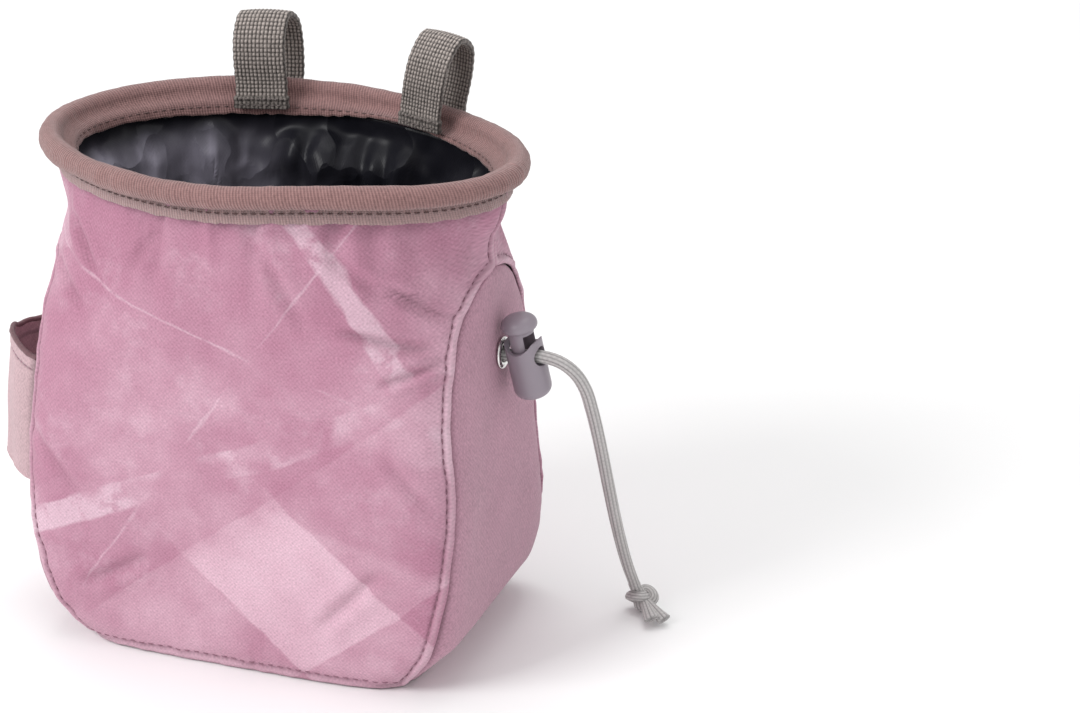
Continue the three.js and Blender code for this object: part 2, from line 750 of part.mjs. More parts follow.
function barrelGeometry() {
  const body = lathe([
    [0, LOCK_BOTTOM],
    [LOCK_RADIUS - LOCK_CORNER, LOCK_BOTTOM],
    [LOCK_RADIUS - LOCK_CORNER / 3, LOCK_BOTTOM + LOCK_CORNER / 3],
    [LOCK_RADIUS, LOCK_BOTTOM + LOCK_CORNER],
    [LOCK_RADIUS, LOCK_TOP],
    [LOCK_BORE, LOCK_TOP],
    [LOCK_BORE, LOCK_FLOOR],
    [0, LOCK_FLOOR],
  ]).rotateX(Math.PI / 2);
  const through = 4 * LOCK_RADIUS;
  const middle = new THREE.Vector3();
  const cordHole = roundHole(middle, new THREE.Vector3(1, 0, 0), LOCK_HOLE_RADIUS, through);
  const saddleMiddle = new THREE.Vector3(0, 0, LOCK_TOP - SADDLE_DEPTH + SADDLE_RADIUS);
  const saddle = roundHole(saddleMiddle, new THREE.Vector3(0, 1, 0), SADDLE_RADIUS, through);
  return cut(body, [cordHole, saddle]);
}

// The slot leaves the cord clear when the plunger is pressed down by its full travel.
function plungerGeometry() {
  const shank = LOCK_BORE - PLUNGER_CLEARANCE;
  const headBottom = LOCK_TOP + PLUNGER_TRAVEL + HEAD_CLEARANCE;
  const body = lathe([
    [0, PLUNGER_BOTTOM],
    [shank, PLUNGER_BOTTOM],
    [shank, headBottom],
    [0.93 * HEAD_RADIUS, headBottom],
    [HEAD_RADIUS, headBottom + 0.3 * HEAD_HEIGHT],
    [0.85 * HEAD_RADIUS, headBottom + 0.7 * HEAD_HEIGHT],
    [0.5 * HEAD_RADIUS, headBottom + 0.93 * HEAD_HEIGHT],
    [0, headBottom + HEAD_HEIGHT],
  ]).rotateX(Math.PI / 2);
  const slotHeight = PLUNGER_SLOT_TOP + LOCK_HOLE_RADIUS;
  const slot = new THREE.BoxGeometry(4 * LOCK_RADIUS, 2 * LOCK_HOLE_RADIUS, slotHeight);
  slot.translate(0, 0, slotHeight / 2 - LOCK_HOLE_RADIUS);
  return cut(body, [slot]);
}

const lockFinish = material(LOCK_GREY, 0.5);
addMesh('cord_lock_barrel', barrelGeometry(), lockFinish, lock);
addMesh('cord_lock_plunger', plungerGeometry(), lockFinish, lock);

// Drawcord and its knot

const cordCurve = new THREE.CatmullRomCurve3(CORD_ROUTE.map((p) => new THREE.Vector3(...p)));
const cordSection = new THREE.Shape(
  Array.from({ length: CORD_SIDES }, (_, side) => {
    const angle = (2 * Math.PI * side) / CORD_SIDES;
    return new THREE.Vector2(CORD_RADIUS * Math.cos(angle), CORD_RADIUS * Math.sin(angle));
  })
);
const cordGeometry = new THREE.ExtrudeGeometry(cordSection, {
  steps: CORD_STEPS,
  extrudePath: cordCurve,
  bevelEnabled: false,
});
const cordFinish = material(CORD_GREY, 0.85);
addMesh('drawcord', cordGeometry, cordFinish);

function knotGeometry() {
  const centre = new THREE.Vector3(...KNOT_PLACE);
  const tailEnd = new THREE.Vector3(...KNOT_TAIL_END);
  const ball = new THREE.SphereGeometry(KNOT_RADIUS, 14, 10).translate(centre.x, centre.y, centre.z);
  const direction = tailEnd.clone().sub(centre).normalize();
  const tail = new THREE.CylinderGeometry(KNOT_TAIL_RADIUS, CORD_RADIUS, KNOT_TAIL_LENGTH, 10);
  tail.translate(0, KNOT_TAIL_LENGTH / 2, 0);
  tail.applyQuaternion(new THREE.Quaternion().setFromUnitVectors(new THREE.Vector3(0, 1, 0), direction));
  tail.translate(centre.x, centre.y, centre.z);
  return join([ball, tail]);
}

addMesh('cord_knot', knotGeometry(), cordFinish);

export default bag;
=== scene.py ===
"""Looks of a climbing chalk bag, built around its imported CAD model.

Every length is in metres, in the frame of the CAD model: +Z up, the front of the bag
facing -Y, and the origin on the floor at the middle of the base.
"""

import logging
import math
from dataclasses import dataclass, field
from enum import Enum

import bmesh
import bpy
import numpy as np
from mathutils import Matrix, Vector
from mathutils.kdtree import KDTree


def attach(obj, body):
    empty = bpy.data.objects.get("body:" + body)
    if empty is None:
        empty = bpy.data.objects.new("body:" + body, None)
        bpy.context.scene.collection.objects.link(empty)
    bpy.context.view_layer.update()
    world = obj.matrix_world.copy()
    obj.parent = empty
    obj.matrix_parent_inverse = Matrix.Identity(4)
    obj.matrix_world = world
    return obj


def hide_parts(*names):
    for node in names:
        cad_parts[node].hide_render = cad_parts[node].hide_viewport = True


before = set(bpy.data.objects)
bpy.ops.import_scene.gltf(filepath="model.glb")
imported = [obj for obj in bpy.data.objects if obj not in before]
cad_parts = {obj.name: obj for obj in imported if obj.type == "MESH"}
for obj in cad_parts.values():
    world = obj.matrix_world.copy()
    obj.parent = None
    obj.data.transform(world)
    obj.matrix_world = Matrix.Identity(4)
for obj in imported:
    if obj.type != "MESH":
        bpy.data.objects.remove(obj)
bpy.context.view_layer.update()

LOG = logging.getLogger("chalk_bag")
BODY = "bag"
PLUNGER_BODY = "plunger"
Array = np.ndarray
Colour = tuple[float, float, float]
Piece = bpy.types.Object
Socket = bpy.types.NodeSocket
Material = bpy.types.Material
Tree = bpy.types.NodeTree


class Side(Enum):
    """Which panel of the bag a piece of cloth belongs to."""

    FRONT = "front"
    BACK = "back"


# Small numeric helpers


def table(names: str, rows: list[tuple[float, ...]]) -> dict[str, Array]:
    """Turns rows with named columns into one array for each column.

    Args:
        names: the column names, parted by spaces.
        rows: the rows, each with one number for each name.

    Returns:
        The columns by name.
    """
    return dict(zip(names.split(), np.array(rows, float).T))


def column_at(rows: dict[str, Array], key: str, at: Array) -> Array:
    """Reads a smooth curve through one column, which never swings past its rows.

    Args:
        rows: a table with a height column.
        key: the column to read.
        at: the heights to read it at.

    Returns:
        The column's value at each height.
    """
    knots, values = rows["height"], rows[key]
    at = np.clip(at, knots[0], knots[-1])
    slopes = np.diff(values) / np.diff(knots)
    before = np.concatenate([slopes[:1], slopes])
    after = np.concatenate([slopes, slopes[-1:]])
    same_way = before * after > 0
    total = np.where(same_way, before + after, 1.0)
    tangents = np.where(same_way, 2 * before * after / total, 0.0)
    row = np.clip(np.searchsorted(knots, at, side="left") - 1, 0, len(knots) - 2)
    span = knots[row + 1] - knots[row]
    t = (at - knots[row]) / span
    return (
        (2 * t**3 - 3 * t**2 + 1) * values[row]
        + (t**3 - 2 * t**2 + t) * span * tangents[row]
        + (3 * t**2 - 2 * t**3) * values[row + 1]
        + (t**3 - t**2) * span * tangents[row + 1]
    )


def smoothstep(low: float, high: float, x: Array) -> Array:
    """Rises smoothly from 0 at low to 1 at high."""
    t = np.clip((x - low) / (high - low), 0, 1)
    return t * t * (3 - 2 * t)


def bump(distance: Array, spread: float) -> Array:
    """A smooth hill of height 1 and the given spread."""
    return np.exp(-((distance / spread) ** 2))


def unit(vectors: Array) -> Array:
    """Scales vectors to length 1."""
    return vectors / np.maximum(np.linalg.norm(vectors, axis=-1, keepdims=True), 1e-12)


def lattice_noise(points: Array, seed: int) -> Array:
    """Smooth noise from -1 to 1, the same on every run.

    Args:
        points: places in noise cells, with three numbers each.
        seed: picks the pattern.

    Returns:
        One value for each point.
    """
    base = np.floor(points).astype(np.int64)
    part = points - base
    part = part * part * (3 - 2 * part)
    total = np.zeros(points.shape[:-1])
    for corner in range(8):
        step = np.array([corner & 1, corner >> 1 & 1, corner >> 2 & 1])
        cell = (base + step).astype(np.uint64)
        mix = cell[..., 0] * np.uint64(73856093) ^ cell[..., 1] * np.uint64(19349663)
        mix ^= cell[..., 2] * np.uint64(83492791) ^ np.uint64(seed * 2654435761 % 2**32)
        mix = (mix ^ (mix >> np.uint64(13))) * np.uint64(1274126177)
        value = ((mix >> np.uint64(16)) & np.uint64(0xFFFF)).astype(float) / 32767.5 - 1
        weight = np.prod(np.where(step == 1, part, 1 - part), axis=-1)
        total += weight * value
    return total


def folded_noise(points: Array, seed: int, octaves: int = 3) -> Array:
    """Noise with sharp ridges, as crumpled cloth has, from 0 to about 1."""
    total, gain, size = np.zeros(points.shape[:-1]), 1.0, 0.0
    for octave in range(octaves):
        total += gain * (1 - np.abs(lattice_noise(points * 2**octave, seed + octave))) ** 3
        size += gain
        gain *= 0.45
    return total / size


def even_rows(heights: Array, reach: Array, count: int) -> Array:
    """Spaces heights evenly along a profile, so that corners get as many rows as walls."""
    length = np.concatenate([[0], np.cumsum(np.hypot(np.diff(heights), np.diff(reach)))])
    return np.interp(np.linspace(0, length[-1], count), length, heights)


def edge_shares(count: int, crowd: float = 5.0, zone: float = 0.03) -> Array:
    """Shares from 0 to 1 that crowd towards both ends."""
    fine = np.linspace(0, 1, 2000)
    density = 1 + crowd * (bump(fine, zone) + bump(1 - fine, zone))
    total = np.concatenate([[0], np.cumsum((density[1:] + density[:-1]) / 2)])
    return np.interp(np.linspace(0, total[-1], count), total, fine)


def smooth_curve(points: list[tuple[float, ...]], count: int) -> Array:
    """A centripetal Catmull-Rom curve through the points, as the CAD model uses.

    Args:
        points: the points to pass through.
        count: how many points to return, evenly spaced in length.

    Returns:
        The points along the curve.
    """
    p = np.array(points, float)
    p = np.vstack([2 * p[0] - p[1], p, 2 * p[-1] - p[-2]])
    line = []
    for i in range(1, len(p) - 2):
        a, b, c, d = p[i - 1 : i + 3]
        steps = [max(np.linalg.norm(q - r), 1e-9) ** 0.5 for q, r in ((b, a), (c, b), (d, c))]
        start = ((b - a) / steps[0] - (c - a) / (steps[0] + steps[1]) + (c - b) / steps[1]) * steps[1]
        end = ((c - b) / steps[1] - (d - b) / (steps[1] + steps[2]) + (d - c) / steps[2]) * steps[1]
        t = np.linspace(0, 1, 40, endpoint=i == len(p) - 3)[:, None]
        line.append(
            (2 * t**3 - 3 * t**2 + 1) * b
            + (t**3 - 2 * t**2 + t) * start
            + (3 * t**2 - 2 * t**3) * c
            + (t**3 - t**2) * end
        )
    dense = np.vstack(line)
    length = np.concatenate([[0], np.cumsum(np.linalg.norm(np.diff(dense, axis=0), axis=1))])
    at = np.linspace(0, length[-1], count)
    return np.stack([np.interp(at, length, dense[:, k]) for k in range(dense.shape[1])], axis=1)


def carried_frames(line: Array, first: Array) -> tuple[Array, Array, Array]:
    """Frames carried along a line without twist.

    Args:
        line: points in order.
        first: a direction that the first side vector leans to.

    Returns:
        Tangents, side vectors and their cross products, one of each for every point.
    """
    tangents = unit(np.gradient(line, axis=0))
    sides = np.zeros_like(line)
    side = np.array(first, float)
    for i, tangent in enumerate(tangents):
        side = unit(side - tangent * side.dot(tangent))
        sides[i] = side
    return tangents, sides, np.cross(tangents, sides)


# Meshes from grids of points


def mesh_object(name: str, points: Array, faces: Array, uv: Array | None = None) -> Piece:
    """Makes a smooth-shaded object from points and four-sided faces.

    Args:
        name: the piece's name.
        points: its points.
        faces: rows of four point numbers.
        uv: a place on the cloth for each point, in metres.

    Returns:
        The new object.
    """
    mesh = bpy.data.meshes.new(name)
    mesh.from_pydata(points.tolist(), [], faces.tolist())
    if uv is not None:
        layer = mesh.uv_layers.new(name="cloth")
        corners = np.zeros(len(mesh.loops), np.int64)
        mesh.loops.foreach_get("vertex_index", corners)
        layer.data.foreach_set("uv", uv[corners].astype(np.float32).ravel())
    mesh.polygons.foreach_set("use_smooth", np.ones(len(mesh.polygons), bool))
    mesh.validate()
    mesh.update()
    made = bpy.data.objects.new(name, mesh)
    bpy.context.scene.collection.objects.link(made)
    return made


def grid_faces(rows: int, columns: int, start: int = 0, closed: bool = False) -> Array:
    """Faces of a grid of points, with its columns joined into a ring if closed."""
    i, j = np.meshgrid(np.arange(rows - 1), np.arange(columns if closed else columns - 1), indexing="ij")
    k = (j + 1) % columns
    faces = np.stack([i * columns + j, i * columns + k, (i + 1) * columns + k, (i + 1) * columns + j], -1)
    return faces.reshape(-1, 4) + start


@dataclass
class ClothGrid:
    """A sheet of cloth as a grid of points, with a place on the cloth for each.

    Attributes:
        points: rows by columns of points.
        uv: the same grid of places on the flat cloth, in metres.
        outward: a direction for each point that its normal leans to.
        closed: whether the columns join into a ring.
        masks: named values for each point, for the materials.
    """

    points: Array
    uv: Array
    outward: Array
    closed: bool = False
    masks: dict[str, Array] = field(default_factory=dict)

    def normals(self) -> Array:
        """Works out the normal at each point, on the outward side."""
        if self.closed:
            across = np.roll(self.points, -1, 1) - np.roll(self.points, 1, 1)
        else:
            across = np.gradient(self.points, axis=1)
        normal = unit(np.cross(across, np.gradient(self.points, axis=0)))
        flip = np.sign(np.sum(normal * self.outward, axis=-1, keepdims=True))
        return normal * np.where(flip == 0, 1, flip)

    def push(self, height: Array) -> None:
        """Moves each point along its normal by a height."""
        self.points = self.points + self.normals() * height[..., None]

    def shell(self, name: str, thickness: float) -> Piece:
        """Makes a closed shell of the cloth's thickness, inwards from the grid.

        Args:
            name: the piece's name.
            thickness: how far in the back of the cloth lies.

        Returns:
            The new object, with the masks as attributes.
        """
        rows, columns = self.points.shape[:2]
        back = self.points - self.normals() * thickness
        points = np.concatenate([self.points.reshape(-1, 3), back.reshape(-1, 3)])
        count = rows * columns
        faces = [grid_faces(rows, columns, 0, self.closed)]
        faces.append(grid_faces(rows, columns, count, self.closed)[:, ::-1])
        edge = np.arange(columns if self.closed else columns - 1)
        after = (edge + 1) % columns
        last = (rows - 1) * columns
        faces.append(np.stack([after, edge, edge + count, after + count], -1))
        faces.append(np.stack([last + edge, last + after, last + after + count, last + edge + count], -1))
        if not self.closed:
            row = np.arange(rows - 1) * columns
            end = row + columns - 1
            faces.append(np.stack([row, row + columns, row + columns + count, row + count], -1))
            faces.append(np.stack([end + columns, end, end + count, end + columns + count], -1))
        uv = np.concatenate([self.uv.reshape(-1, 2)] * 2)
        made = mesh_object(name, points, np.concatenate(faces), uv)
        for mask, values in self.masks.items():
            store_mask(made, mask, np.concatenate([values.ravel()] * 2))
        face_outward(made)
        return made


def store_mask(piece: Piece, name: str, values: Array) -> None:
    """Keeps one number for each point as an attribute that materials can read."""
    layer = piece.data.attributes.new(name, "FLOAT", "POINT")
    layer.data.foreach_set("value", values.astype(np.float32))


def face_outward(piece: Piece) -> None:
    """Turns all faces of a closed mesh outwards."""
    work = bmesh.new()
    work.from_mesh(piece.data)
    bmesh.ops.recalc_face_normals(work, faces=work.faces)
    work.to_mesh(piece.data)
    work.free()


def swept_tube(name: str, line: Array, first: Array, section: Array, twist: Array) -> Piece:
    """Sweeps a section along a line and closes its ends.

    Args:
        name: the piece's name.
        line: the points to follow.
        first: a direction for the section's first axis at the start.
        section: rows by sides of section points, one row for each point of the line.
        twist: how far the section is turned at each point, in radians.

    Returns:
        The new object.
    """
    _, sides, ups = carried_frames(line, first)
    cos, sin = np.cos(twist)[:, None], np.sin(twist)[:, None]
    along = sides * cos + ups * sin
    over = ups * cos - sides * sin
    rings = line[:, None] + along[:, None] * section[..., :1] + over[:, None] * section[..., 1:]
    rows, count = rings.shape[:2]
    length = np.concatenate([[0], np.cumsum(np.linalg.norm(np.diff(line, axis=0), axis=1))])
    around = np.linspace(0, 2 * np.pi * 0.0018, count, endpoint=False)
    uv = np.stack(np.broadcast_arrays(around[None, :], length[:, None]), -1).reshape(-1, 2)
    caps = [rings[0].mean(0), rings[-1].mean(0)]
    points = np.concatenate([rings.reshape(-1, 3), caps])
    uv = np.concatenate([uv, [uv[0], uv[-1]]])
    made = mesh_object(name, points, grid_faces(rows, count, 0, True), uv)
    work = bmesh.new()
    work.from_mesh(made.data)
    work.verts.ensure_lookup_table()
    for centre, ring in ((rows * count, 0), (rows * count + 1, (rows - 1) * count)):
        for j in range(count):
            corners = (centre, ring + j, ring + (j + 1) % count)
            work.faces.new([work.verts[v] for v in corners]).smooth = True
    bmesh.ops.recalc_face_normals(work, faces=work.faces)
    work.to_mesh(made.data)
    work.free()
    return made


def place(piece: Piece, finish: Material, nodes: tuple[str, ...] = (),
          body: str = BODY) -> Piece:
    """Gives a finished piece its material and its place in the frame.

    Args:
        piece: the finished object.
        finish: its material.
        nodes: the CAD nodes that it stands for.
        body: the CAD body that it rides on.

    Returns:
        The same object.
    """
    piece.data.materials.clear()
    piece.data.materials.append(finish)
    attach(piece, body)
    if nodes:
        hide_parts(*nodes)
    LOG.info("%s: %d faces", piece.name, len(piece.data.polygons))
    return piece


# Shared shader node groups


class NodeTreeBuilder:
    """Adds nodes to a tree in short calls and joins them."""

    def __init__(self, tree: Tree) -> None:
        """Keeps the tree that nodes are added to."""
        self.tree = tree

    def add(self, kind: str, **values: object) -> bpy.types.Node:
        """Adds a node and sets its properties."""
        node = self.tree.nodes.new(kind)
        for name, value in values.items():
            setattr(node, name, value)
        return node

    def feed(self, socket: Socket, value: object) -> None:
        """Joins an output to a socket, or sets the socket's own value."""
        if isinstance(value, Socket):
            self.tree.links.new(value, socket)
        else:
            socket.default_value = value

    def math(self, operation: str, *values: object, clamp: bool = False) -> Socket:
        """Adds a Math node and returns its output."""
        node = self.add("ShaderNodeMath", operation=operation, use_clamp=clamp)
        for socket, value in zip(node.inputs, values):
            self.feed(socket, value)
        return node.outputs[0]

    def mix(self, share: object, a: object, b: object, blend: str = "MIX") -> Socket:
        """Mixes two colours by a share and returns the result."""
        node = self.add("ShaderNodeMix", data_type="RGBA", blend_type=blend, clamp_result=False)
        for socket, value in zip((node.inputs[0], node.inputs[6], node.inputs[7]), (share, a, b)):
            self.feed(socket, (*value, 1) if isinstance(value, tuple) and len(value) == 3 else value)
        return node.outputs[2]

    def ramp(self, value: object, low: float, high: float, to_low: float = 0.0, to_high: float = 1.0) -> Socket:
        """Maps a value from one range to another, smoothly and clamped."""
        node = self.add("ShaderNodeMapRange", interpolation_type="SMOOTHSTEP", clamp=True)
        for socket, number in zip(node.inputs, (value, low, high, to_low, to_high)):
            self.feed(socket, number)
        return node.outputs[0]

    def noise(self, vector: object, scale: float, detail: float = 2.0, rough: float = 0.5) -> Socket:
        """Adds a noise texture and returns its value."""
        node = self.add("ShaderNodeTexNoise")
        self.feed(node.inputs["Vector"], vector)
        self.feed(node.inputs["Scale"], scale)
        self.feed(node.inputs["Detail"], detail)
        self.feed(node.inputs["Roughness"], rough)
        return node.outputs["Fac"]

    def attribute(self, name: str) -> Socket:
        """Reads a mask kept on the mesh."""
        return self.add("ShaderNodeAttribute", attribute_name=name).outputs["Fac"]


def group_tree(name: str, inputs: dict[str, tuple[str, object]], outputs: dict[str, str]) -> tuple:
    """Starts a node group with named sockets.

    Args:
        name: the group's name.
        inputs: for each input, its socket kind and its first value.
        outputs: for each output, its socket kind.

    Returns:
        The tree, a builder for it, the inputs by name and the node that takes the outputs.
    """
    tree = bpy.data.node_groups.new(name, "ShaderNodeTree")
    for label, (kind, value) in inputs.items():
        socket = tree.interface.new_socket(label, in_out="INPUT", socket_type=kind)
        if value is not None:
            socket.default_value = value
    for label, kind in outputs.items():
        tree.interface.new_socket(label, in_out="OUTPUT", socket_type=kind)
    build = NodeTreeBuilder(tree)
    source = build.add("NodeGroupInput")
    return tree, build, {s.name: s for s in source.outputs if s.name}, build.add("NodeGroupOutput")


class SharedEffects:
    """The node groups that more than one finish uses, each built once."""

    def __init__(self) -> None:
        """Builds every group."""
        self.weave = self._weave()
        self.ribs = self._ribs()
        self.wash = self._wash()
        self.mottle = self._mottle()
        self.seam_shade = self._seam_shade()

    def _weave(self) -> Tree:
        """Plain weave: crossing threads of a given pitch."""
        tree, build, given, out = group_tree(
            "Weave",
            {"Vector": ("NodeSocketVector", None), "Threads": ("NodeSocketFloat", 2000.0),
             "Unevenness": ("NodeSocketFloat", 0.3)},
            {"Height": "NodeSocketFloat", "Fleck": "NodeSocketFloat"},
        )
        wobble = build.noise(given["Vector"], 900.0, 1.0)
        parts = build.add("ShaderNodeSeparateXYZ")
        build.feed(parts.inputs[0], given["Vector"])
        turns = build.math("MULTIPLY", given["Threads"], math.pi)
        shift = build.math("MULTIPLY", wobble, given["Unevenness"])
        waves = []
        for axis in (0, 1):
            phase = build.math("MULTIPLY_ADD", parts.outputs[axis], turns, shift)
            waves.append(build.math("SINE", phase))
        crossed = build.math("MULTIPLY", waves[0], waves[1])
        build.feed(out.inputs["Height"], build.math("MULTIPLY_ADD", crossed, 0.5, 0.5))
        grain = build.noise(given["Vector"], 1500.0, 2.0)
        build.feed(out.inputs["Fleck"], build.math("SUBTRACT", grain, 0.5))
        return tree

    def _ribs(self) -> Tree:
        """Ribs that run across a tape."""
        tree, build, given, out = group_tree(
            "Tape Ribs",
            {"Vector": ("NodeSocketVector", None), "Ribs": ("NodeSocketFloat", 1400.0),
             "Slant": ("NodeSocketFloat", 0.0)},
            {"Height": "NodeSocketFloat"},
        )
        parts = build.add("ShaderNodeSeparateXYZ")
        build.feed(parts.inputs[0], given["Vector"])
        slanted = build.math("MULTIPLY_ADD", parts.outputs[1], given["Slant"], parts.outputs[0])
        wobble = build.math("MULTIPLY", build.noise(given["Vector"], 500.0, 1.0), 1.4)
        turns = build.math("MULTIPLY", given["Ribs"], 2 * math.pi)
        wave = build.math("SINE", build.math("MULTIPLY_ADD", slanted, turns, wobble))
        thread = build.math("SINE", build.math("MULTIPLY", parts.outputs[1], 2 * math.pi * 1700))
        both = build.math("MULTIPLY_ADD", thread, 0.3, wave)
        build.feed(out.inputs["Height"], build.math("MULTIPLY_ADD", both, 0.38, 0.5))
        return tree

    def _wash(self) -> Tree:
        """One soft brush stroke of a printed wash, as a mask."""
        tree, build, given, out = group_tree(
            "Brush Wash",
            {"Vector": ("NodeSocketVector", None), "Turn": ("NodeSocketFloat", 0.0),
             "Offset": ("NodeSocketFloat", 0.0), "Width": ("NodeSocketFloat", 0.03),
             "Edge": ("NodeSocketFloat", 0.003), "Dryness": ("NodeSocketFloat", 0.01)},
            {"Mask": "NodeSocketFloat"},
        )
        parts = build.add("ShaderNodeSeparateXYZ")
        build.feed(parts.inputs[0], given["Vector"])
        x, z = parts.outputs[0], parts.outputs[2]
        cos, sin = build.math("COSINE", given["Turn"]), build.math("SINE", given["Turn"])
        across = build.math("SUBTRACT", build.math("MULTIPLY", z, cos), build.math("MULTIPLY", x, sin))
        along = build.math("ADD", build.math("MULTIPLY", x, cos), build.math("MULTIPLY", z, sin))
        bristle = build.add("ShaderNodeCombineXYZ")
        build.feed(bristle.inputs[0], build.math("MULTIPLY", along, 0.22))
        build.feed(bristle.inputs[1], across)
        streaks = build.noise(bristle.outputs[0], 260.0, 3.0, 0.6)
        ragged = build.math("MULTIPLY_ADD", build.math("SUBTRACT", streaks, 0.5), given["Dryness"], across)
        away = build.math("ABSOLUTE", build.math("SUBTRACT", ragged, given["Offset"]))
        inside = build.math("SUBTRACT", build.math("MULTIPLY", given["Width"], 0.5), away)
        build.feed(out.inputs["Mask"], build.math("DIVIDE", inside, given["Edge"], clamp=True))
        return tree

    def _mottle(self) -> Tree:
        """Uneven colour: broad clouds and small flecks, centred on zero."""
        tree, build, given, out = group_tree(
            "Mottle",
            {"Vector": ("NodeSocketVector", None), "Cloud Scale": ("NodeSocketFloat", 30.0),
             "Fleck Scale": ("NodeSocketFloat", 1200.0)},
            {"Clouds": "NodeSocketFloat", "Flecks": "NodeSocketFloat"},
        )
        for label, scale, detail in (("Clouds", "Cloud Scale", 4.0), ("Flecks", "Fleck Scale", 2.0)):
            node = build.noise(given["Vector"], 1.0, detail)
            build.feed(node.node.inputs["Scale"], given[scale])
            build.feed(out.inputs[label], build.math("SUBTRACT", node, 0.5))
        return tree

    def _seam_shade(self) -> Tree:
        """Paints shade into a colour in creases and beside seams, and paints a highlight on raised ridges."""
        tree, build, given, out = group_tree(
            "Seam Shade",
            {"Color": ("NodeSocketColor", (0.5, 0.5, 0.5, 1)), "Hollow": ("NodeSocketFloat", 0.0),
             "Depth": ("NodeSocketFloat", 0.35), "Ridge": ("NodeSocketFloat", 0.0),
             "Wear": ("NodeSocketFloat", 0.2)},
            {"Color": "NodeSocketColor"},
        )
        # Painted shade: the Hollow mask darkens the colour towards near black where shade falls.
        shade = build.math("MULTIPLY", given["Hollow"], given["Depth"], clamp=True)
        dark = build.mix(shade, given["Color"], build.mix(0.75, given["Color"], (0.02, 0.01, 0.014)))
        # Painted highlight: the Ridge mask lightens the colour towards pale pink.
        highlight_share = build.math("MULTIPLY", given["Ridge"], given["Wear"], clamp=True)
        build.feed(out.inputs["Color"], build.mix(highlight_share, dark, (0.86, 0.78, 0.8)))
        return tree


class FinishBuilder:
    """Starts one material and gives short ways to add its nodes."""

    def __init__(self, name: str, effects: SharedEffects) -> None:
        """Makes an empty material with a Principled BSDF.

        Args:
            name: the material's name.
            effects: the shared node groups.
        """
        self.effects = effects
        self.material = bpy.data.materials.new(name)
        self.material.use_nodes = True
        tree = self.material.node_tree
        self.build = NodeTreeBuilder(tree)
        self.shader = tree.nodes["Principled BSDF"]
        self.cloth = self.build.add("ShaderNodeUVMap", uv_map="cloth").outputs[0]
        self.place = self.build.add("ShaderNodeTexCoord").outputs["Object"]

    def group(self, tree: Tree, **values: object) -> bpy.types.Node:
        """Places a shared group with its own values."""
        node = self.build.add("ShaderNodeGroup", node_tree=tree)
        for label, value in values.items():
            self.build.feed(node.inputs[label.replace("_", " ")], value)
        return node

    def tinted(self, colour: object, light: object) -> Socket:
        """Multiplies a colour by a lightness."""
        tint = self.build.add("ShaderNodeCombineColor")
        for socket in tint.inputs[:3]:
            self.build.feed(socket, light)
        return self.build.mix(1.0, colour, tint.outputs[0], "MULTIPLY")

    def bump(self, height: object, distance: float, strength: float = 1.0, under: object = None) -> object:
        """Turns a height into a normal, over an earlier normal if one is given."""
        node = self.build.add("ShaderNodeBump")
        self.build.feed(node.inputs["Height"], height)
        node.inputs["Distance"].default_value = distance
        node.inputs["Strength"].default_value = strength
        if under is not None:
            self.build.feed(node.inputs["Normal"], under)
        return node.outputs["Normal"]

    def finish(self, color: object, roughness: object, normal: object | None = None,
               **plain: float) -> Material:
        """Joins the results to the shader.

        Args:
            color: base colour, as a socket or three numbers.
            roughness: as a socket or a number.
            normal: the bumped normal.
            **plain: other sockets that have one value all over, by name.

        Returns:
            The finished material.
        """
        value = (*color, 1) if isinstance(color, tuple) else color
        self.build.feed(self.shader.inputs["Base Color"], value)
        self.build.feed(self.shader.inputs["Roughness"], roughness)
        if normal is not None:
            self.build.feed(self.shader.inputs["Normal"], normal)
        for label, number in plain.items():
            self.shader.inputs[label.replace("_", " ")].default_value = number
        return self.material


# Finishes


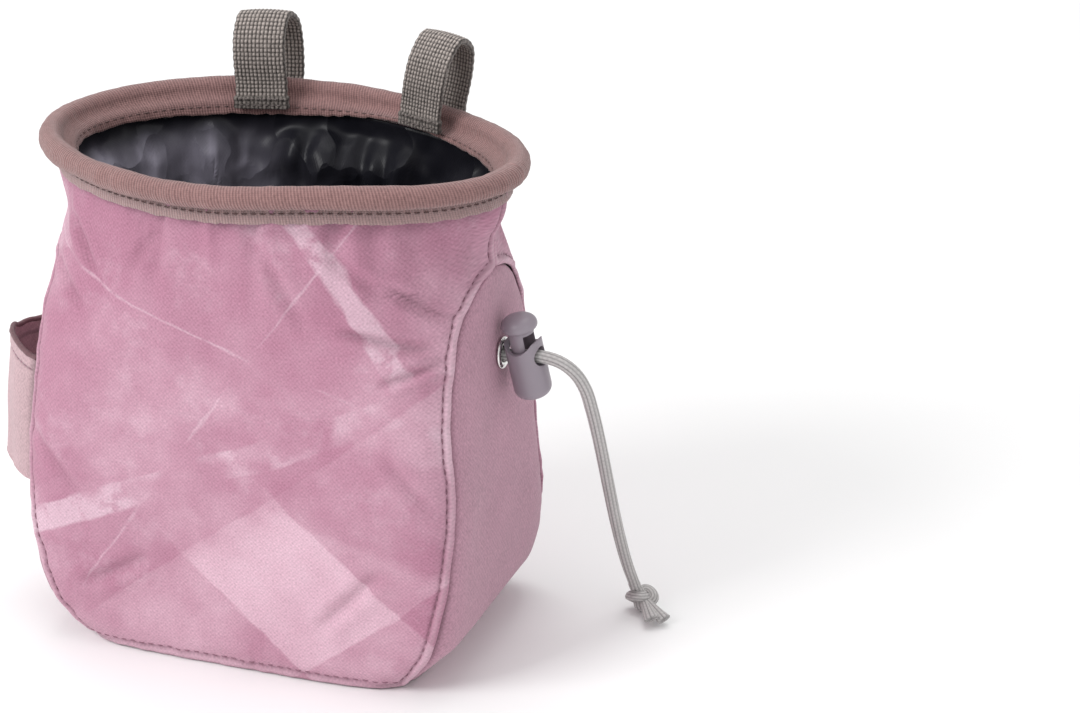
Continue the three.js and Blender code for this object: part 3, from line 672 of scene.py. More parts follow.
@dataclass(frozen=True)
class PrintedCloth:
    """Fine woven cloth with a soft printed wash in pale and deeper rose."""

    pale: Colour = (0.655, 0.435, 0.52)
    rose: Colour = (0.40, 0.178, 0.258)
    chalk: Colour = (0.70, 0.52, 0.60)
    panes: tuple[tuple[float, float, float, float, float], ...] = (
        (0.50, 0.104, 0.060, 0.0009, -0.18),
        (0.66, 0.014, 0.050, 0.0009, 0.34),
        (-0.74, 0.036, 0.040, 0.0009, 0.36),
        (-0.50, 0.140, 0.046, 0.0009, 0.26),
        (-0.30, 0.074, 0.034, 0.0030, -0.20),
        (1.22, 0.066, 0.018, 0.0020, 0.30),
    )
    brushed: tuple[tuple[float, float, float, float, float], ...] = (
        (0.42, 0.062, 0.0095, 0.0010, 0.62),
        (-0.96, 0.100, 0.0070, 0.0010, 0.55),
        (-0.30, 0.100, 0.0013, 0.0009, 0.60),
        (0.95, 0.052, 0.0012, 0.0009, 0.55),
    )

    def material(self, effects: SharedEffects) -> Material:
        """Builds the material. Each stroke is its turn, offset, width, edge and strength."""
        made = FinishBuilder("printed_cloth", effects)
        build = made.build
        mottle = made.group(effects.mottle, Vector=made.place, Cloud_Scale=15.0, Fleck_Scale=1500.0)
        fine = made.group(effects.mottle, Vector=made.place, Cloud_Scale=85.0, Fleck_Scale=420.0)
        tone = build.math("MULTIPLY_ADD", mottle.outputs["Clouds"], 1.35, 0.80)
        tone = build.math("MULTIPLY_ADD", fine.outputs["Clouds"], 0.50, tone)
        for turn, offset, width, edge, strength in self.panes:
            pane = made.group(effects.wash, Vector=made.place, Turn=turn, Offset=offset, Width=width,
                              Edge=edge, Dryness=0.004)
            reach = build.ramp(build.noise(made.place, 9.0 + 60 * width, 1.0), 0.38, 0.62, 0.1, 1.0)
            cover = build.math("MULTIPLY", pane.outputs["Mask"], reach)
            tone = build.math("MULTIPLY_ADD", cover, -strength, tone)
        colour = build.mix(build.ramp(tone, 0.0, 1.0), self.pale, self.rose)
        dabs = build.ramp(build.noise(made.place, 48.0, 7.0, 0.72), 0.50, 0.70, 0.0, 0.24)
        colour = build.mix(dabs, colour, self.chalk)
        broken = build.ramp(build.noise(made.place, 130.0, 5.0, 0.65), 0.34, 0.50, 0.25, 1.0)
        patch = build.ramp(build.noise(made.place, 20.0, 3.0), 0.42, 0.50)
        for turn, offset, width, edge, strength in self.brushed:
            stroke = made.group(effects.wash, Vector=made.place, Turn=turn, Offset=offset, Width=width,
                                Edge=edge, Dryness=0.0035)
            dry = build.math("MULTIPLY", build.math("MULTIPLY", stroke.outputs["Mask"], broken), patch)
            colour = build.mix(build.math("MULTIPLY", dry, strength), colour, self.chalk)
        weave = made.group(effects.weave, Vector=made.cloth, Threads=1500.0, Unevenness=0.5)
        fleck = build.math("MULTIPLY_ADD", weave.outputs["Fleck"], 0.62, 1.0)
        fleck = build.math("MULTIPLY_ADD", weave.outputs["Height"], 0.16, fleck)
        colour = made.tinted(colour, build.math("SUBTRACT", fleck, 0.07))
        # Painted shade beside the seam stitches, under the tape and in creases and gathers; painted highlight
        # on the turned edge's ridge.
        shade = made.group(effects.seam_shade, Color=colour, Hollow=build.attribute("hollow"), Depth=0.38,
                           Ridge=build.attribute("ridge"), Wear=0.12)
        normal = made.bump(weave.outputs["Height"], 0.00007, 0.9)
        soft = made.bump(build.noise(made.place, 170.0, 4.0), 0.0007, 0.4, normal)
        rough = build.math("MULTIPLY_ADD", fine.outputs["Clouds"], 0.12, 0.72)
        return made.finish(shade.outputs["Color"], rough, soft, Sheen_Weight=0.12, Sheen_Roughness=0.45,
                           Specular_IOR_Level=0.35)


@dataclass(frozen=True)
class PlainCloth:
    """Fine woven cloth in one dyed colour."""

    name: str
    colour: Colour
    roughness: float = 0.78

    def material(self, effects: SharedEffects) -> Material:
        """Builds the material."""
        made = FinishBuilder(self.name, effects)
        build = made.build
        mottle = made.group(effects.mottle, Vector=made.place, Cloud_Scale=40.0, Fleck_Scale=1300.0)
        weave = made.group(effects.weave, Vector=made.cloth, Threads=1400.0, Unevenness=0.5)
        light = build.math("MULTIPLY_ADD", mottle.outputs["Clouds"], 0.34, 0.95)
        light = build.math("MULTIPLY_ADD", mottle.outputs["Flecks"], 0.75, light)
        light = build.math("MULTIPLY_ADD", weave.outputs["Height"], 0.14, light)
        colour = made.tinted(self.colour, light)
        # Painted shade beside the gusset's seams and along the sleeve's stitch line and front edge; the ridge
        # masks of these pieces are zero.
        shade = made.group(effects.seam_shade, Color=colour, Hollow=build.attribute("hollow"), Depth=0.6,
                           Ridge=build.attribute("ridge"), Wear=0.22)
        normal = made.bump(weave.outputs["Height"], 0.00007, 0.9)
        soft = made.bump(build.noise(made.place, 300.0, 3.0), 0.0004, 0.35, normal)
        rough = build.math("MULTIPLY_ADD", mottle.outputs["Clouds"], 0.12, self.roughness)
        return made.finish(shade.outputs["Color"], rough, soft, Sheen_Weight=0.15, Sheen_Roughness=0.5,
                           Specular_IOR_Level=0.32)


@dataclass(frozen=True)
class NylonLining:
    """Thin dark nylon, crinkled, with a faint sheen, a painted highlight on its crests and painted light on its
    left side.
    """

    colour: Colour = (0.009, 0.009, 0.013)
    # Pale colour painted on crests and on the left side, where light falls.
    crest: Colour = (0.40, 0.375, 0.46)

    def material(self, effects: SharedEffects) -> Material:
        """Builds the material."""
        made = FinishBuilder("lining_cloth", effects)
        build = made.build
        weave = made.group(effects.weave, Vector=made.cloth, Threads=1900.0)
        mottle = made.group(effects.mottle, Vector=made.place, Cloud_Scale=60.0, Fleck_Scale=900.0)
        # Painted light: the crest mask mixes in the pale colour on crests and on the left side.
        crest = build.math("MULTIPLY_ADD", mottle.outputs["Clouds"], 0.06, build.attribute("crest"),
                           clamp=True)
        colour = build.mix(crest, self.colour, self.crest)
        normal = made.bump(weave.outputs["Height"], 0.00004, 0.6)
        bent = build.mix(0.035, made.place, build.add("ShaderNodeTexNoise").outputs["Color"])
        cells = build.add("ShaderNodeTexVoronoi", feature="F1")
        cells.inputs["Scale"].default_value = 36.0
        build.feed(cells.inputs["Vector"], bent)
        crinkle = made.bump(cells.outputs["Distance"], 0.011, 0.8, normal)
        rough = build.math("MULTIPLY_ADD", mottle.outputs["Clouds"], 0.2, 0.40)
        return made.finish(colour, rough, crinkle, Sheen_Weight=0.03, Sheen_Roughness=0.35,
                           Specular_IOR_Level=0.2)


@dataclass(frozen=True)
class RibbedTape:
    """Narrow binding tape with fine ribs across it."""

    light: Colour = (0.355, 0.198, 0.19)
    dark: Colour = (0.115, 0.058, 0.057)

    def material(self, effects: SharedEffects) -> Material:
        """Builds the material."""
        made = FinishBuilder("binding_tape", effects)
        build = made.build
        ribs = made.group(effects.ribs, Vector=made.cloth, Ribs=1150.0, Slant=0.18)
        mottle = made.group(effects.mottle, Vector=made.place, Cloud_Scale=55.0, Fleck_Scale=1100.0)
        tone = build.math("MULTIPLY_ADD", ribs.outputs["Height"], 0.62, 0.26)
        tone = build.math("MULTIPLY_ADD", mottle.outputs["Flecks"], 0.75, tone)
        tone = build.math("MULTIPLY_ADD", mottle.outputs["Clouds"], 0.3, tone, clamp=True)
        colour = build.mix(tone, self.dark, self.light)
        # Painted shade in the stitch grooves, and painted light on the strip below the roll, where the roll
        # casts shade.
        shade = made.group(effects.seam_shade, Color=colour, Hollow=build.attribute("hollow"), Depth=0.3,
                           Ridge=build.attribute("ridge"), Wear=0.13)
        normal = made.bump(ribs.outputs["Height"], 0.00022, 0.9)
        return made.finish(shade.outputs["Color"], 0.82, normal, Sheen_Weight=0.25, Sheen_Roughness=0.5,
                           Specular_IOR_Level=0.3)


@dataclass(frozen=True)
class Webbing:
    """Coarse woven webbing, whose threads are modelled, with painted shade between them."""

    light: Colour = (0.46, 0.40, 0.37)
    dark: Colour = (0.036, 0.030, 0.027)

    def material(self, effects: SharedEffects) -> Material:
        """Builds the material."""
        made = FinishBuilder("webbing", effects)
        build = made.build
        mottle = made.group(effects.mottle, Vector=made.place, Cloud_Scale=120.0, Fleck_Scale=1300.0)
        # Painted shade: the ridge mask darkens the colour between the threads' beads and at the edges, and the
        # colour is darker at the hem.
        tone = build.math("MULTIPLY_ADD", mottle.outputs["Flecks"], 0.95, build.attribute("ridge"))
        tone = build.math("MULTIPLY_ADD", mottle.outputs["Clouds"], 0.2, tone, clamp=True)
        colour = build.mix(tone, self.dark, self.light)
        thread = build.noise(made.cloth, 2600.0, 2.0)
        normal = made.bump(thread, 0.00014, 0.7)
        return made.finish(colour, 0.72, normal, Sheen_Weight=0.2, Sheen_Roughness=0.5,
                           Specular_IOR_Level=0.35)


@dataclass(frozen=True)
class Braid:
    """Braided cord, pale warm grey with shaded grooves."""

    light: Colour = (0.56, 0.54, 0.535)
    dark: Colour = (0.15, 0.14, 0.14)

    def material(self, effects: SharedEffects) -> Material:
        """Builds the material."""
        made = FinishBuilder("cord_braid", effects)
        build = made.build
        mottle = made.group(effects.mottle, Vector=made.place, Cloud_Scale=180.0, Fleck_Scale=2200.0)
        tone = build.math("MULTIPLY_ADD", mottle.outputs["Flecks"], 0.5, build.attribute("ridge"))
        tone = build.math("MULTIPLY_ADD", mottle.outputs["Clouds"], 0.2, tone, clamp=True)
        colour = build.mix(tone, self.dark, self.light)
        normal = made.bump(build.noise(made.cloth, 3000.0, 2.0), 0.0001, 0.6)
        return made.finish(colour, 0.7, normal, Sheen_Weight=0.15, Sheen_Roughness=0.5,
                           Specular_IOR_Level=0.35)


@dataclass(frozen=True)
class MouldedPlastic:
    """Satin moulded plastic with a faint grain."""

    colour: Colour = (0.285, 0.245, 0.285)

    def material(self, effects: SharedEffects) -> Material:
        """Builds the material."""
        made = FinishBuilder("lock_plastic", effects)
        build = made.build
        mottle = made.group(effects.mottle, Vector=made.place, Cloud_Scale=140.0, Fleck_Scale=2500.0)
        light = build.math("MULTIPLY_ADD", mottle.outputs["Clouds"], 0.12, 1.0)
        colour = made.tinted(self.colour, light)
        normal = made.bump(mottle.outputs["Flecks"], 0.00003, 0.5)
        rough = build.math("MULTIPLY_ADD", mottle.outputs["Clouds"], 0.14, 0.36)
        return made.finish(colour, rough, normal, Specular_IOR_Level=0.5)


@dataclass(frozen=True)
class PolishedMetal:
    """Nickel-plated metal with faint scuffs."""

    colour: Colour = (0.80, 0.79, 0.77)

    def material(self, effects: SharedEffects) -> Material:
        """Builds the material."""
        made = FinishBuilder("eyelet_metal", effects)
        build = made.build
        scuffs = build.noise(made.place, 700.0, 4.0, 0.6)
        rough = build.ramp(scuffs, 0.35, 0.75, 0.14, 0.36)
        normal = made.bump(scuffs, 0.00003, 0.4)
        return made.finish(self.colour, rough, normal, Metallic=1.0)


@dataclass(frozen=True)
class Thread:
    """Sewing thread."""

    name: str
    colour: Colour

    def material(self, effects: SharedEffects) -> Material:
        """Builds the material."""
        made = FinishBuilder(self.name, effects)
        build = made.build
        twist = build.noise(made.place, 2400.0, 2.0)
        colour = build.mix(build.ramp(twist, 0.3, 0.7), tuple(0.62 * c for c in self.colour), self.colour)
        normal = made.bump(twist, 0.00008, 0.6)
        return made.finish(colour, 0.6, normal, Sheen_Weight=0.1)


@dataclass
class Finishes:
    """Every material of the bag, built once."""

    effects: SharedEffects

    def __post_init__(self) -> None:
        """Builds the materials."""
        self.printed = PrintedCloth().material(self.effects)
        self.gusset = PlainCloth("gusset_cloth", (0.43, 0.235, 0.305)).material(self.effects)
        self.sleeve = PlainCloth("sleeve_cloth", (0.47, 0.32, 0.345)).material(self.effects)
        self.hem = PlainCloth("sleeve_hem", (0.15, 0.075, 0.085)).material(self.effects)
        self.lining = NylonLining().material(self.effects)
        self.tape = RibbedTape().material(self.effects)
        self.webbing = Webbing().material(self.effects)
        self.braid = Braid().material(self.effects)
        self.plastic = MouldedPlastic().material(self.effects)
        self.metal = PolishedMetal().material(self.effects)
        self.seam_thread = Thread("seam_thread", (0.30, 0.14, 0.195)).material(self.effects)
        self.tape_thread = Thread("tape_thread", (0.13, 0.07, 0.068)).material(self.effects)
        self.hem_thread = Thread("hem_thread", (0.16, 0.13, 0.125)).material(self.effects)


# The bag's form, as the CAD model has it


@dataclass
class BagForm:
    """The outer surface of the walls, and the lines that the seams follow."""

    rim_height: float = 0.1489
    half_width: float = 0.070
    front_depth: float = 0.0475
    back_depth: float = 0.0447
    cloth: float = 0.0012
    lining_cloth: float = 0.001
    layer_gap: float = 0.0006
    roll_radius: float = 0.0034
    roll_overhang: float = 0.0033
    binding_tape: float = 0.001
    binding_drop: float = 0.0084
    inner_drop: float = 0.005
    panel_tuck: float = 0.0041

    levels = table("height width front back square", [
        (0, 0.764, 0.893, 0.85, 5.4),
        (0.02, 0.787, 0.917, 0.89, 7.6),
        (0.054, 0.856, 0.942, 0.908, 8.8),
        (0.101, 0.941, 0.946, 0.923, 9.4),
        (0.168, 0.974, 0.956, 0.925, 10.2),
        (0.276, 0.991, 0.985, 0.9, 8.8),
        (0.404, 0.99, 1.006, 0.839, 7),
        (0.552, 0.971, 1, 0.85, 5.3),
        (0.673, 0.961, 0.985, 0.917, 4),
        (0.754, 0.957, 0.968, 0.99, 2.8),
        (0.815, 0.946, 0.947, 0.99, 2.4),
        (0.869, 0.923, 0.909, 0.98, 2.25),
        (0.935, 0.965, 0.912, 1.035, 1.93),
        (1, 0.965, 0.912, 1.035, 1.93),
    ])
    seams = table("height front back", [
        (0.002, -0.737, 0.716),
        (0.02, -0.8, 0.772),
        (0.054, -0.853, 0.817),
        (0.101, -0.884, 0.85),
        (0.162, -0.893, 0.845),
        (0.276, -0.863, 0.74),
        (0.404, -0.796, 0.648),
        (0.552, -0.747, 0.626),
        (0.62, -0.695, 0.6),
        (0.673, -0.632, 0.55),
        (0.714, -0.558, 0.48),
        (0.754, -0.453, 0.38),
        (0.785, -0.326, 0.25),
        (0.805, -0.2, 0.11),
        (0.818, -0.055, -0.055),
        (0.869, -0.01, -0.01),
        (0.935, 0.035, 0.035),
        (0.967, 0.04, 0.04),
    ])
    lifts = table("turn spread lift", [(-52, 34, 0.0026), (40, 34, -0.0011), (135, 34, 0.0009)])
    inner_lifts = table("turn spread lift", [(62, 26, 0.0026), (132, 30, -0.0012)])
    folds = table("turn height tall wide depth", [
        (-35, 0.78, 0.07, 14, 0.0014),
        (-128, 0.82, 0.07, 14, 0.001),
        (-70, 0.5, 0.16, 16, -0.0009),
        (-112, 0.28, 0.12, 14, 0.0008),
        (90, 0.55, 0.16, 26, -0.0012),
    ])

    @property
    def arch_height(self) -> float:
        """The height of the gusset arches."""
        return 0.818 * self.rim_height

    def section(self, z: Array) -> tuple[Array, Array, Array, Array]:
        """Half width, front depth, back depth and squareness of the section at a height."""
        height = np.asarray(z, float) / self.rim_height
        return (
            column_at(self.levels, "width", height) * self.half_width,
            column_at(self.levels, "front", height) * self.front_depth,
            column_at(self.levels, "back", height) * self.back_depth,
            column_at(self.levels, "square", height),
        )

    def lift(self, turn: Array) -> Array:
        """How far the rim stands above its height at a turn."""
        return self.hills(turn, self.lifts)

    @staticmethod
    def hills(turn: Array, rows: dict[str, Array]) -> Array:
        """Adds up smooth hills round the bag, each with its turn, spread and lift."""
        total = np.zeros_like(np.asarray(turn, float))
        for middle, spread, lift in zip(*rows.values()):
            total = total + lift * bump((turn - middle + 180) % 360 - 180, spread)
        return total

    def point(self, turn: Array, z: Array) -> Array:
        """A point of the outer surface, at a turn in degrees and a height."""
        turn, z = np.broadcast_arrays(np.asarray(turn, float), np.asarray(z, float))
        width, front, back, square = self.section(z)
        c, s = np.cos(np.radians(turn)), np.sin(np.radians(turn))
        depth = np.where(s < 0, front, back)
        reach = (np.abs(c / width) ** square + np.abs(s / depth) ** square) ** (-1 / square)
        neck = smoothstep(0.72, 0.93, z / self.rim_height)
        dent = np.zeros_like(reach)
        for fold in zip(*self.folds.values()):
            away = (turn - fold[0] + 180) % 360 - 180
            dent += fold[4] * bump(away, fold[3]) * bump(z / self.rim_height - fold[1], fold[2])
        radius = reach - dent * (1 - neck)
        return np.stack([radius * c, radius * s, z + self.lift(turn) * neck], -1)

    def normal(self, turn: Array, z: Array) -> Array:
        """The outward normal of the surface."""
        step, rise = 0.25, 0.00025
        around = self.point(turn + step, z) - self.point(turn - step, z)
        low, high = np.maximum(z - rise, 0), np.minimum(z + rise, self.rim_height)
        return unit(np.cross(around, self.point(turn, high) - self.point(turn, low)))

    def seam_turn(self, z: Array, side: Side) -> Array:
        """The turn in degrees of a seam on the right side of the bag."""
        width, front, back, square = self.section(z)
        share = column_at(self.seams, side.value, np.asarray(z, float) / self.rim_height)
        across = share * (self.front_depth if side is Side.FRONT else self.back_depth)
        depth = np.where(across < 0, front, back)
        out = width * (1 - np.abs(across / depth) ** square) ** (1 / square)
        return np.degrees(np.arctan2(across, out))

    def rim_point(self, turn: Array, out: Array, rise: Array) -> Array:
        """A point of the rim, out from the panels' face and up from the middle of the roll."""
        base = self.point(turn, np.full_like(turn, self.rim_height))
        normal = self.normal(turn, np.full_like(turn, self.rim_height))
        normal = unit(normal * [1, 1, 0])
        return base + normal * out[..., None] + np.stack([0 * rise, 0 * rise, rise], -1)


# Stitching


@dataclass
class StitchRun:
    """A run of stitches laid along a line on the cloth.

    Attributes:
        line: points along the seam.
        normals: the cloth's outward normal at each.
        pitch: from one stitch to the next.
        length: the length of thread that shows.
        radius: of the thread.
        lift: how far the thread's middle stands above the line.
    """

    line: Array
    normals: Array
    pitch: float = 0.003
    length: float = 0.0021
    radius: float = 0.00023
    lift: float = 0.0001

    def rings(self) -> Array:
        """Works out the thread of every stitch, as stitches by rings by sides of points."""
        distance = np.concatenate([[0], np.cumsum(np.linalg.norm(np.diff(self.line, axis=0), axis=1))])
        starts = np.arange(self.pitch / 2, distance[-1] - self.length, self.pitch)
        shares = np.linspace(0, 1, 7)
        at = starts[:, None] + shares * self.length
        centre = np.stack([np.interp(at, distance, self.line[:, k]) for k in range(3)], -1)
        normal = unit(np.stack([np.interp(at, distance, self.normals[:, k]) for k in range(3)], -1))
        tangent = unit(np.gradient(centre, axis=1))
        side = unit(np.cross(tangent, normal))
        arch = np.sin(np.pi * shares) ** 0.5
        centre = centre + normal * (self.lift * arch - self.radius * (1 - arch))[None, :, None]
        angle = np.linspace(0, 2 * np.pi, 6, endpoint=False)
        radius = self.radius * (0.35 + 0.65 * arch)
        around = side[:, :, None] * np.cos(angle)[:, None] + normal[:, :, None] * np.sin(angle)[:, None]
        return centre[:, :, None] + around * radius[None, :, None, None]


def stitch_object(name: str, runs: list[StitchRun]) -> Piece:
    """Joins runs of stitches into one mesh.

    Args:
        name: the piece's name.
        runs: the runs of stitches.

    Returns:
        The new object.
    """
    points, faces, start = [], [], 0
    for run in runs:
        for ring in run.rings():
            rows, count = ring.shape[:2]
            points.append(ring.reshape(-1, 3))
            faces.append(grid_faces(rows, count, start, True))
            for end in (start, start + (rows - 1) * count):
                faces.append(np.array([[end, end + 1, end + 2, end + 3], [end, end + 3, end + 4, end + 5]]))
            start += rows * count
    made = mesh_object(name, np.concatenate(points), np.concatenate(faces))
    face_outward(made)
    return made


# Sub-assemblies


@dataclass
class SeamEdge:
    """The lapped edge of a printed panel, turned under and topstitched.

    Attributes:
        ridge_width: from the edge to the stitches.
        ridge_height: how far the turned edge stands proud.
        groove: how deep the stitches pull in.
        pucker: height of the small gathers beside the stitches.
        pucker_reach: how far they run into the cloth.
    """

    ridge_width: float = 0.0026
    ridge_height: float = 0.00055
    groove: float = 0.00045
    pucker: float = 0.0006
    pucker_reach: float = 0.008

    def height(self, away: Array, along: Array) -> Array:
        """The edge's relief, from the distance to the edge and the place along it."""
        share = np.clip(away / self.ridge_width, 0, 1)
        ridge = self.ridge_height * np.sin(np.pi * np.clip(share, 0.12, 1)) ** 0.6
        groove = self.groove * bump(away - self.ridge_width, 0.0006)
        cells = np.stack([along / 0.0042, away / 0.012, np.zeros_like(away)], -1)
        fine = np.stack([along / 0.0019, away / 0.006, np.ones_like(away)], -1)
        gathers = lattice_noise(cells, 11) + 0.4 * lattice_noise(fine, 12)
        inside = smoothstep(0, self.ridge_width, away) * np.exp(-away / self.pucker_reach)
        wavy = 0.00016 * lattice_noise(np.stack([along / 0.003, 0 * along, 0 * along], -1), 13)
        return ridge - groove + self.pucker * gathers * inside + wavy * bump(away, 0.003)


@dataclass
class Panels:
    """The two printed panels, with their lapped edges and topstitching."""

    form: BagForm
    edge: SeamEdge = field(default_factory=SeamEdge)
    rows: int = 170
    columns: int = 190
    thickness: float = 0.0008
    gather: float = 0.0017
    gather_reach: float = 0.014
    creases = table("x0 z0 x1 z1 width depth", [
        (0.034, 0.113, 0.062, 0.106, 0.0026, 0.0022),
        (0.044, 0.126, 0.064, 0.112, 0.0024, 0.0017),
        (0.030, 0.134, 0.048, 0.120, 0.0030, 0.0013),
        (0.046, 0.098, 0.063, 0.104, 0.0026, 0.0014),
        (0.010, 0.136, 0.026, 0.112, 0.0036, 0.0010),
        (-0.056, 0.132, -0.040, 0.118, 0.0032, 0.0014),
        (-0.062, 0.118, -0.044, 0.108, 0.0030, 0.0012),
        (-0.020, 0.137, -0.030, 0.122, 0.0036, 0.0010),
        (-0.066, 0.070, -0.046, 0.050, 0.0034, 0.0010),
        (-0.050, 0.020, -0.026, 0.034, 0.0040, 0.0012),
        (0.026, 0.018, 0.048, 0.042, 0.0040, 0.0013),
        (0.048, 0.078, 0.064, 0.060, 0.0034, 0.0009),
    ])

    def grid(self, side: Side) -> ClothGrid:
        """Lays out one panel between its seams, from the hem to under the tape."""
        form = self.form
        top = form.rim_height - form.panel_tuck
        dense = np.linspace(0.0003, top, 400)
        heights = even_rows(dense, form.section(dense)[0], self.rows)
        seam = form.seam_turn(heights, side)
        shares = edge_shares(self.columns)
        if side is Side.FRONT:
            turn = (-180 - seam)[:, None] * (1 - shares) + seam[:, None] * shares
        else:
            turn = seam[:, None] * (1 - shares) + (180 - seam)[:, None] * shares
        z = np.broadcast_to(heights[:, None], turn.shape)
        points = form.point(turn, z)
        outward = form.normal(turn, z)
        return ClothGrid(points, points[..., [0, 2]], outward)

    def edge_line(self, grid: ClothGrid) -> Array:
        """The panel's stitched edge: down one seam, along the hem and up the other."""
        left, bottom, right = grid.points[::-1, 0], grid.points[0, 1:-1], grid.points[:, -1]
        return np.concatenate([left, bottom, right])

    def relief(self, grid: ClothGrid, side: Side) -> None:
        """Presses the seam's ridge, gathers and creases into the cloth."""
        line = self.edge_line(grid)
        length = np.concatenate([[0], np.cumsum(np.linalg.norm(np.diff(line, axis=0), axis=1))])
        at = np.arange(0, length[-1], 0.0004)
        dense = np.stack([np.interp(at, length, line[:, k]) for k in range(3)], -1)
        tree = KDTree(len(dense))
        for index, p in enumerate(dense):
            tree.insert(p, index)
        tree.balance()
        found = [tree.find(p)[1:] for p in grid.points.reshape(-1, 3)]
        index = np.array([f[0] for f in found]).reshape(grid.points.shape[:2])
        away = np.array([f[1] for f in found]).reshape(grid.points.shape[:2])
        along = at[index]
        x, z = grid.points[..., 0], grid.points[..., 2]
        across = np.arctan2(grid.points[..., 1], x) * 0.06
        below = np.clip(self.form.rim_height - self.form.binding_drop - z, 0, 1)
        cells = np.stack([across / 0.0058, z / 0.05, 0 * z], -1)
        gathers = lattice_noise(cells, 21) + 0.35 * lattice_noise(cells * [2.3, 1, 1], 22)
        gathers = gathers * np.exp(-below / self.gather_reach)
        broad = lattice_noise(np.stack([x / 0.034, z / 0.030, 0 * z], -1), 31)
        medium = lattice_noise(np.stack([x / 0.013, z / 0.015, 0 * z], -1), 32)
        relief = self.edge.height(away, along) + self.gather * gathers
        relief = relief + smoothstep(0.002, 0.02, away) * (0.0009 * broad + 0.00034 * medium)
        crease = np.zeros_like(x)
        mirror = 1 if side is Side.FRONT else -1
        for x0, z0, x1, z1, width, depth in zip(*self.creases.values()):
            start, end = np.array([x0 * mirror, z0]), np.array([x1 * mirror, z1])
            run = end - start
            share = ((x - start[0]) * run[0] + (z - start[1]) * run[1]) / run.dot(run)
            share = np.clip(share, 0, 1)
            gap = np.hypot(x - start[0] - share * run[0], z - start[1] - share * run[1])
            fade = 1 - np.abs(2 * share - 1) ** 3
            crease -= depth * bump(gap, width / 2) * fade
            crease += 0.5 * depth * bump(gap - width, width / 1.6) * fade
        room = 0.0005 + 0.0024 * smoothstep(0.95, 0.84, z / self.form.rim_height)
        grid.push(np.maximum(relief + crease, -room))
        # Masks for painted shade beside the stitches, under the tape and in creases and gathers, and for a
        # painted highlight on the edge's ridge.
        hollow = 0.9 * bump(away - self.edge.ridge_width, 0.0005)
        hollow = np.maximum(hollow, 0.55 * bump(below, 0.0025))
        sunk = 320 * np.minimum(crease, 0) + 260 * np.minimum(self.gather * gathers, 0)
        grid.masks["hollow"] = np.clip(hollow - sunk, 0, 1)
        grid.masks["ridge"] = bump(away - 0.5 * self.edge.ridge_width, 0.0009)
        self.away = away

    def stitch_run(self, grid: ClothGrid) -> StitchRun:
        """Topstitching that follows the edge at the ridge's width."""
        line, normals = [], []
        surface = grid.normals()
        inset = self.edge.ridge_width
        for row in range(self.rows - 1, 0, -1):
            line.append(self._inset_point(grid.points[row], self.away[row], inset))
            normals.append(surface[row, 3])
        foot = int(np.argmax(self.away[:, self.columns // 2] > inset))
        middle = range(8, self.columns - 8, 2)
        keep = [j for j in middle if self.away[foot, j] > 0.9 * inset]
        side_part = [i for i, row in enumerate(range(self.rows - 1, 0, -1)) if row > foot]
        line = [line[i] for i in side_part]
        normals = [normals[i] for i in side_part]
        line += [grid.points[foot, j] for j in keep]
        normals += [surface[foot, j] for j in keep]
        for row in range(foot + 1, self.rows):
            line.append(self._inset_point(grid.points[row, ::-1], self.away[row, ::-1], inset))
            normals.append(surface[row, -4])
        return StitchRun(np.array(line), np.array(normals))

    @staticmethod
    def _inset_point(points: Array, away: Array, inset: float) -> Array:
        """The point of a row that lies the given distance in from the row's first point."""
        reach = max(int(np.argmax(away > inset)), 1)
        share = (inset - away[reach - 1]) / max(away[reach] - away[reach - 1], 1e-9)
        return points[reach - 1] + (points[reach] - points[reach - 1]) * np.clip(share, 0, 1)

    def build(self, finishes: Finishes) -> None:
        """Makes both panels and their stitches."""
        for side in Side:
            grid = self.grid(side)
            self.relief(grid, side)
            name = f"{side.value}_panel"
            run = self.stitch_run(grid)
            place(grid.shell(f"{name}_cloth", self.thickness), finishes.printed, (name,))
            place(stitch_object(f"{name}_stitches", [run]), finishes.seam_thread)


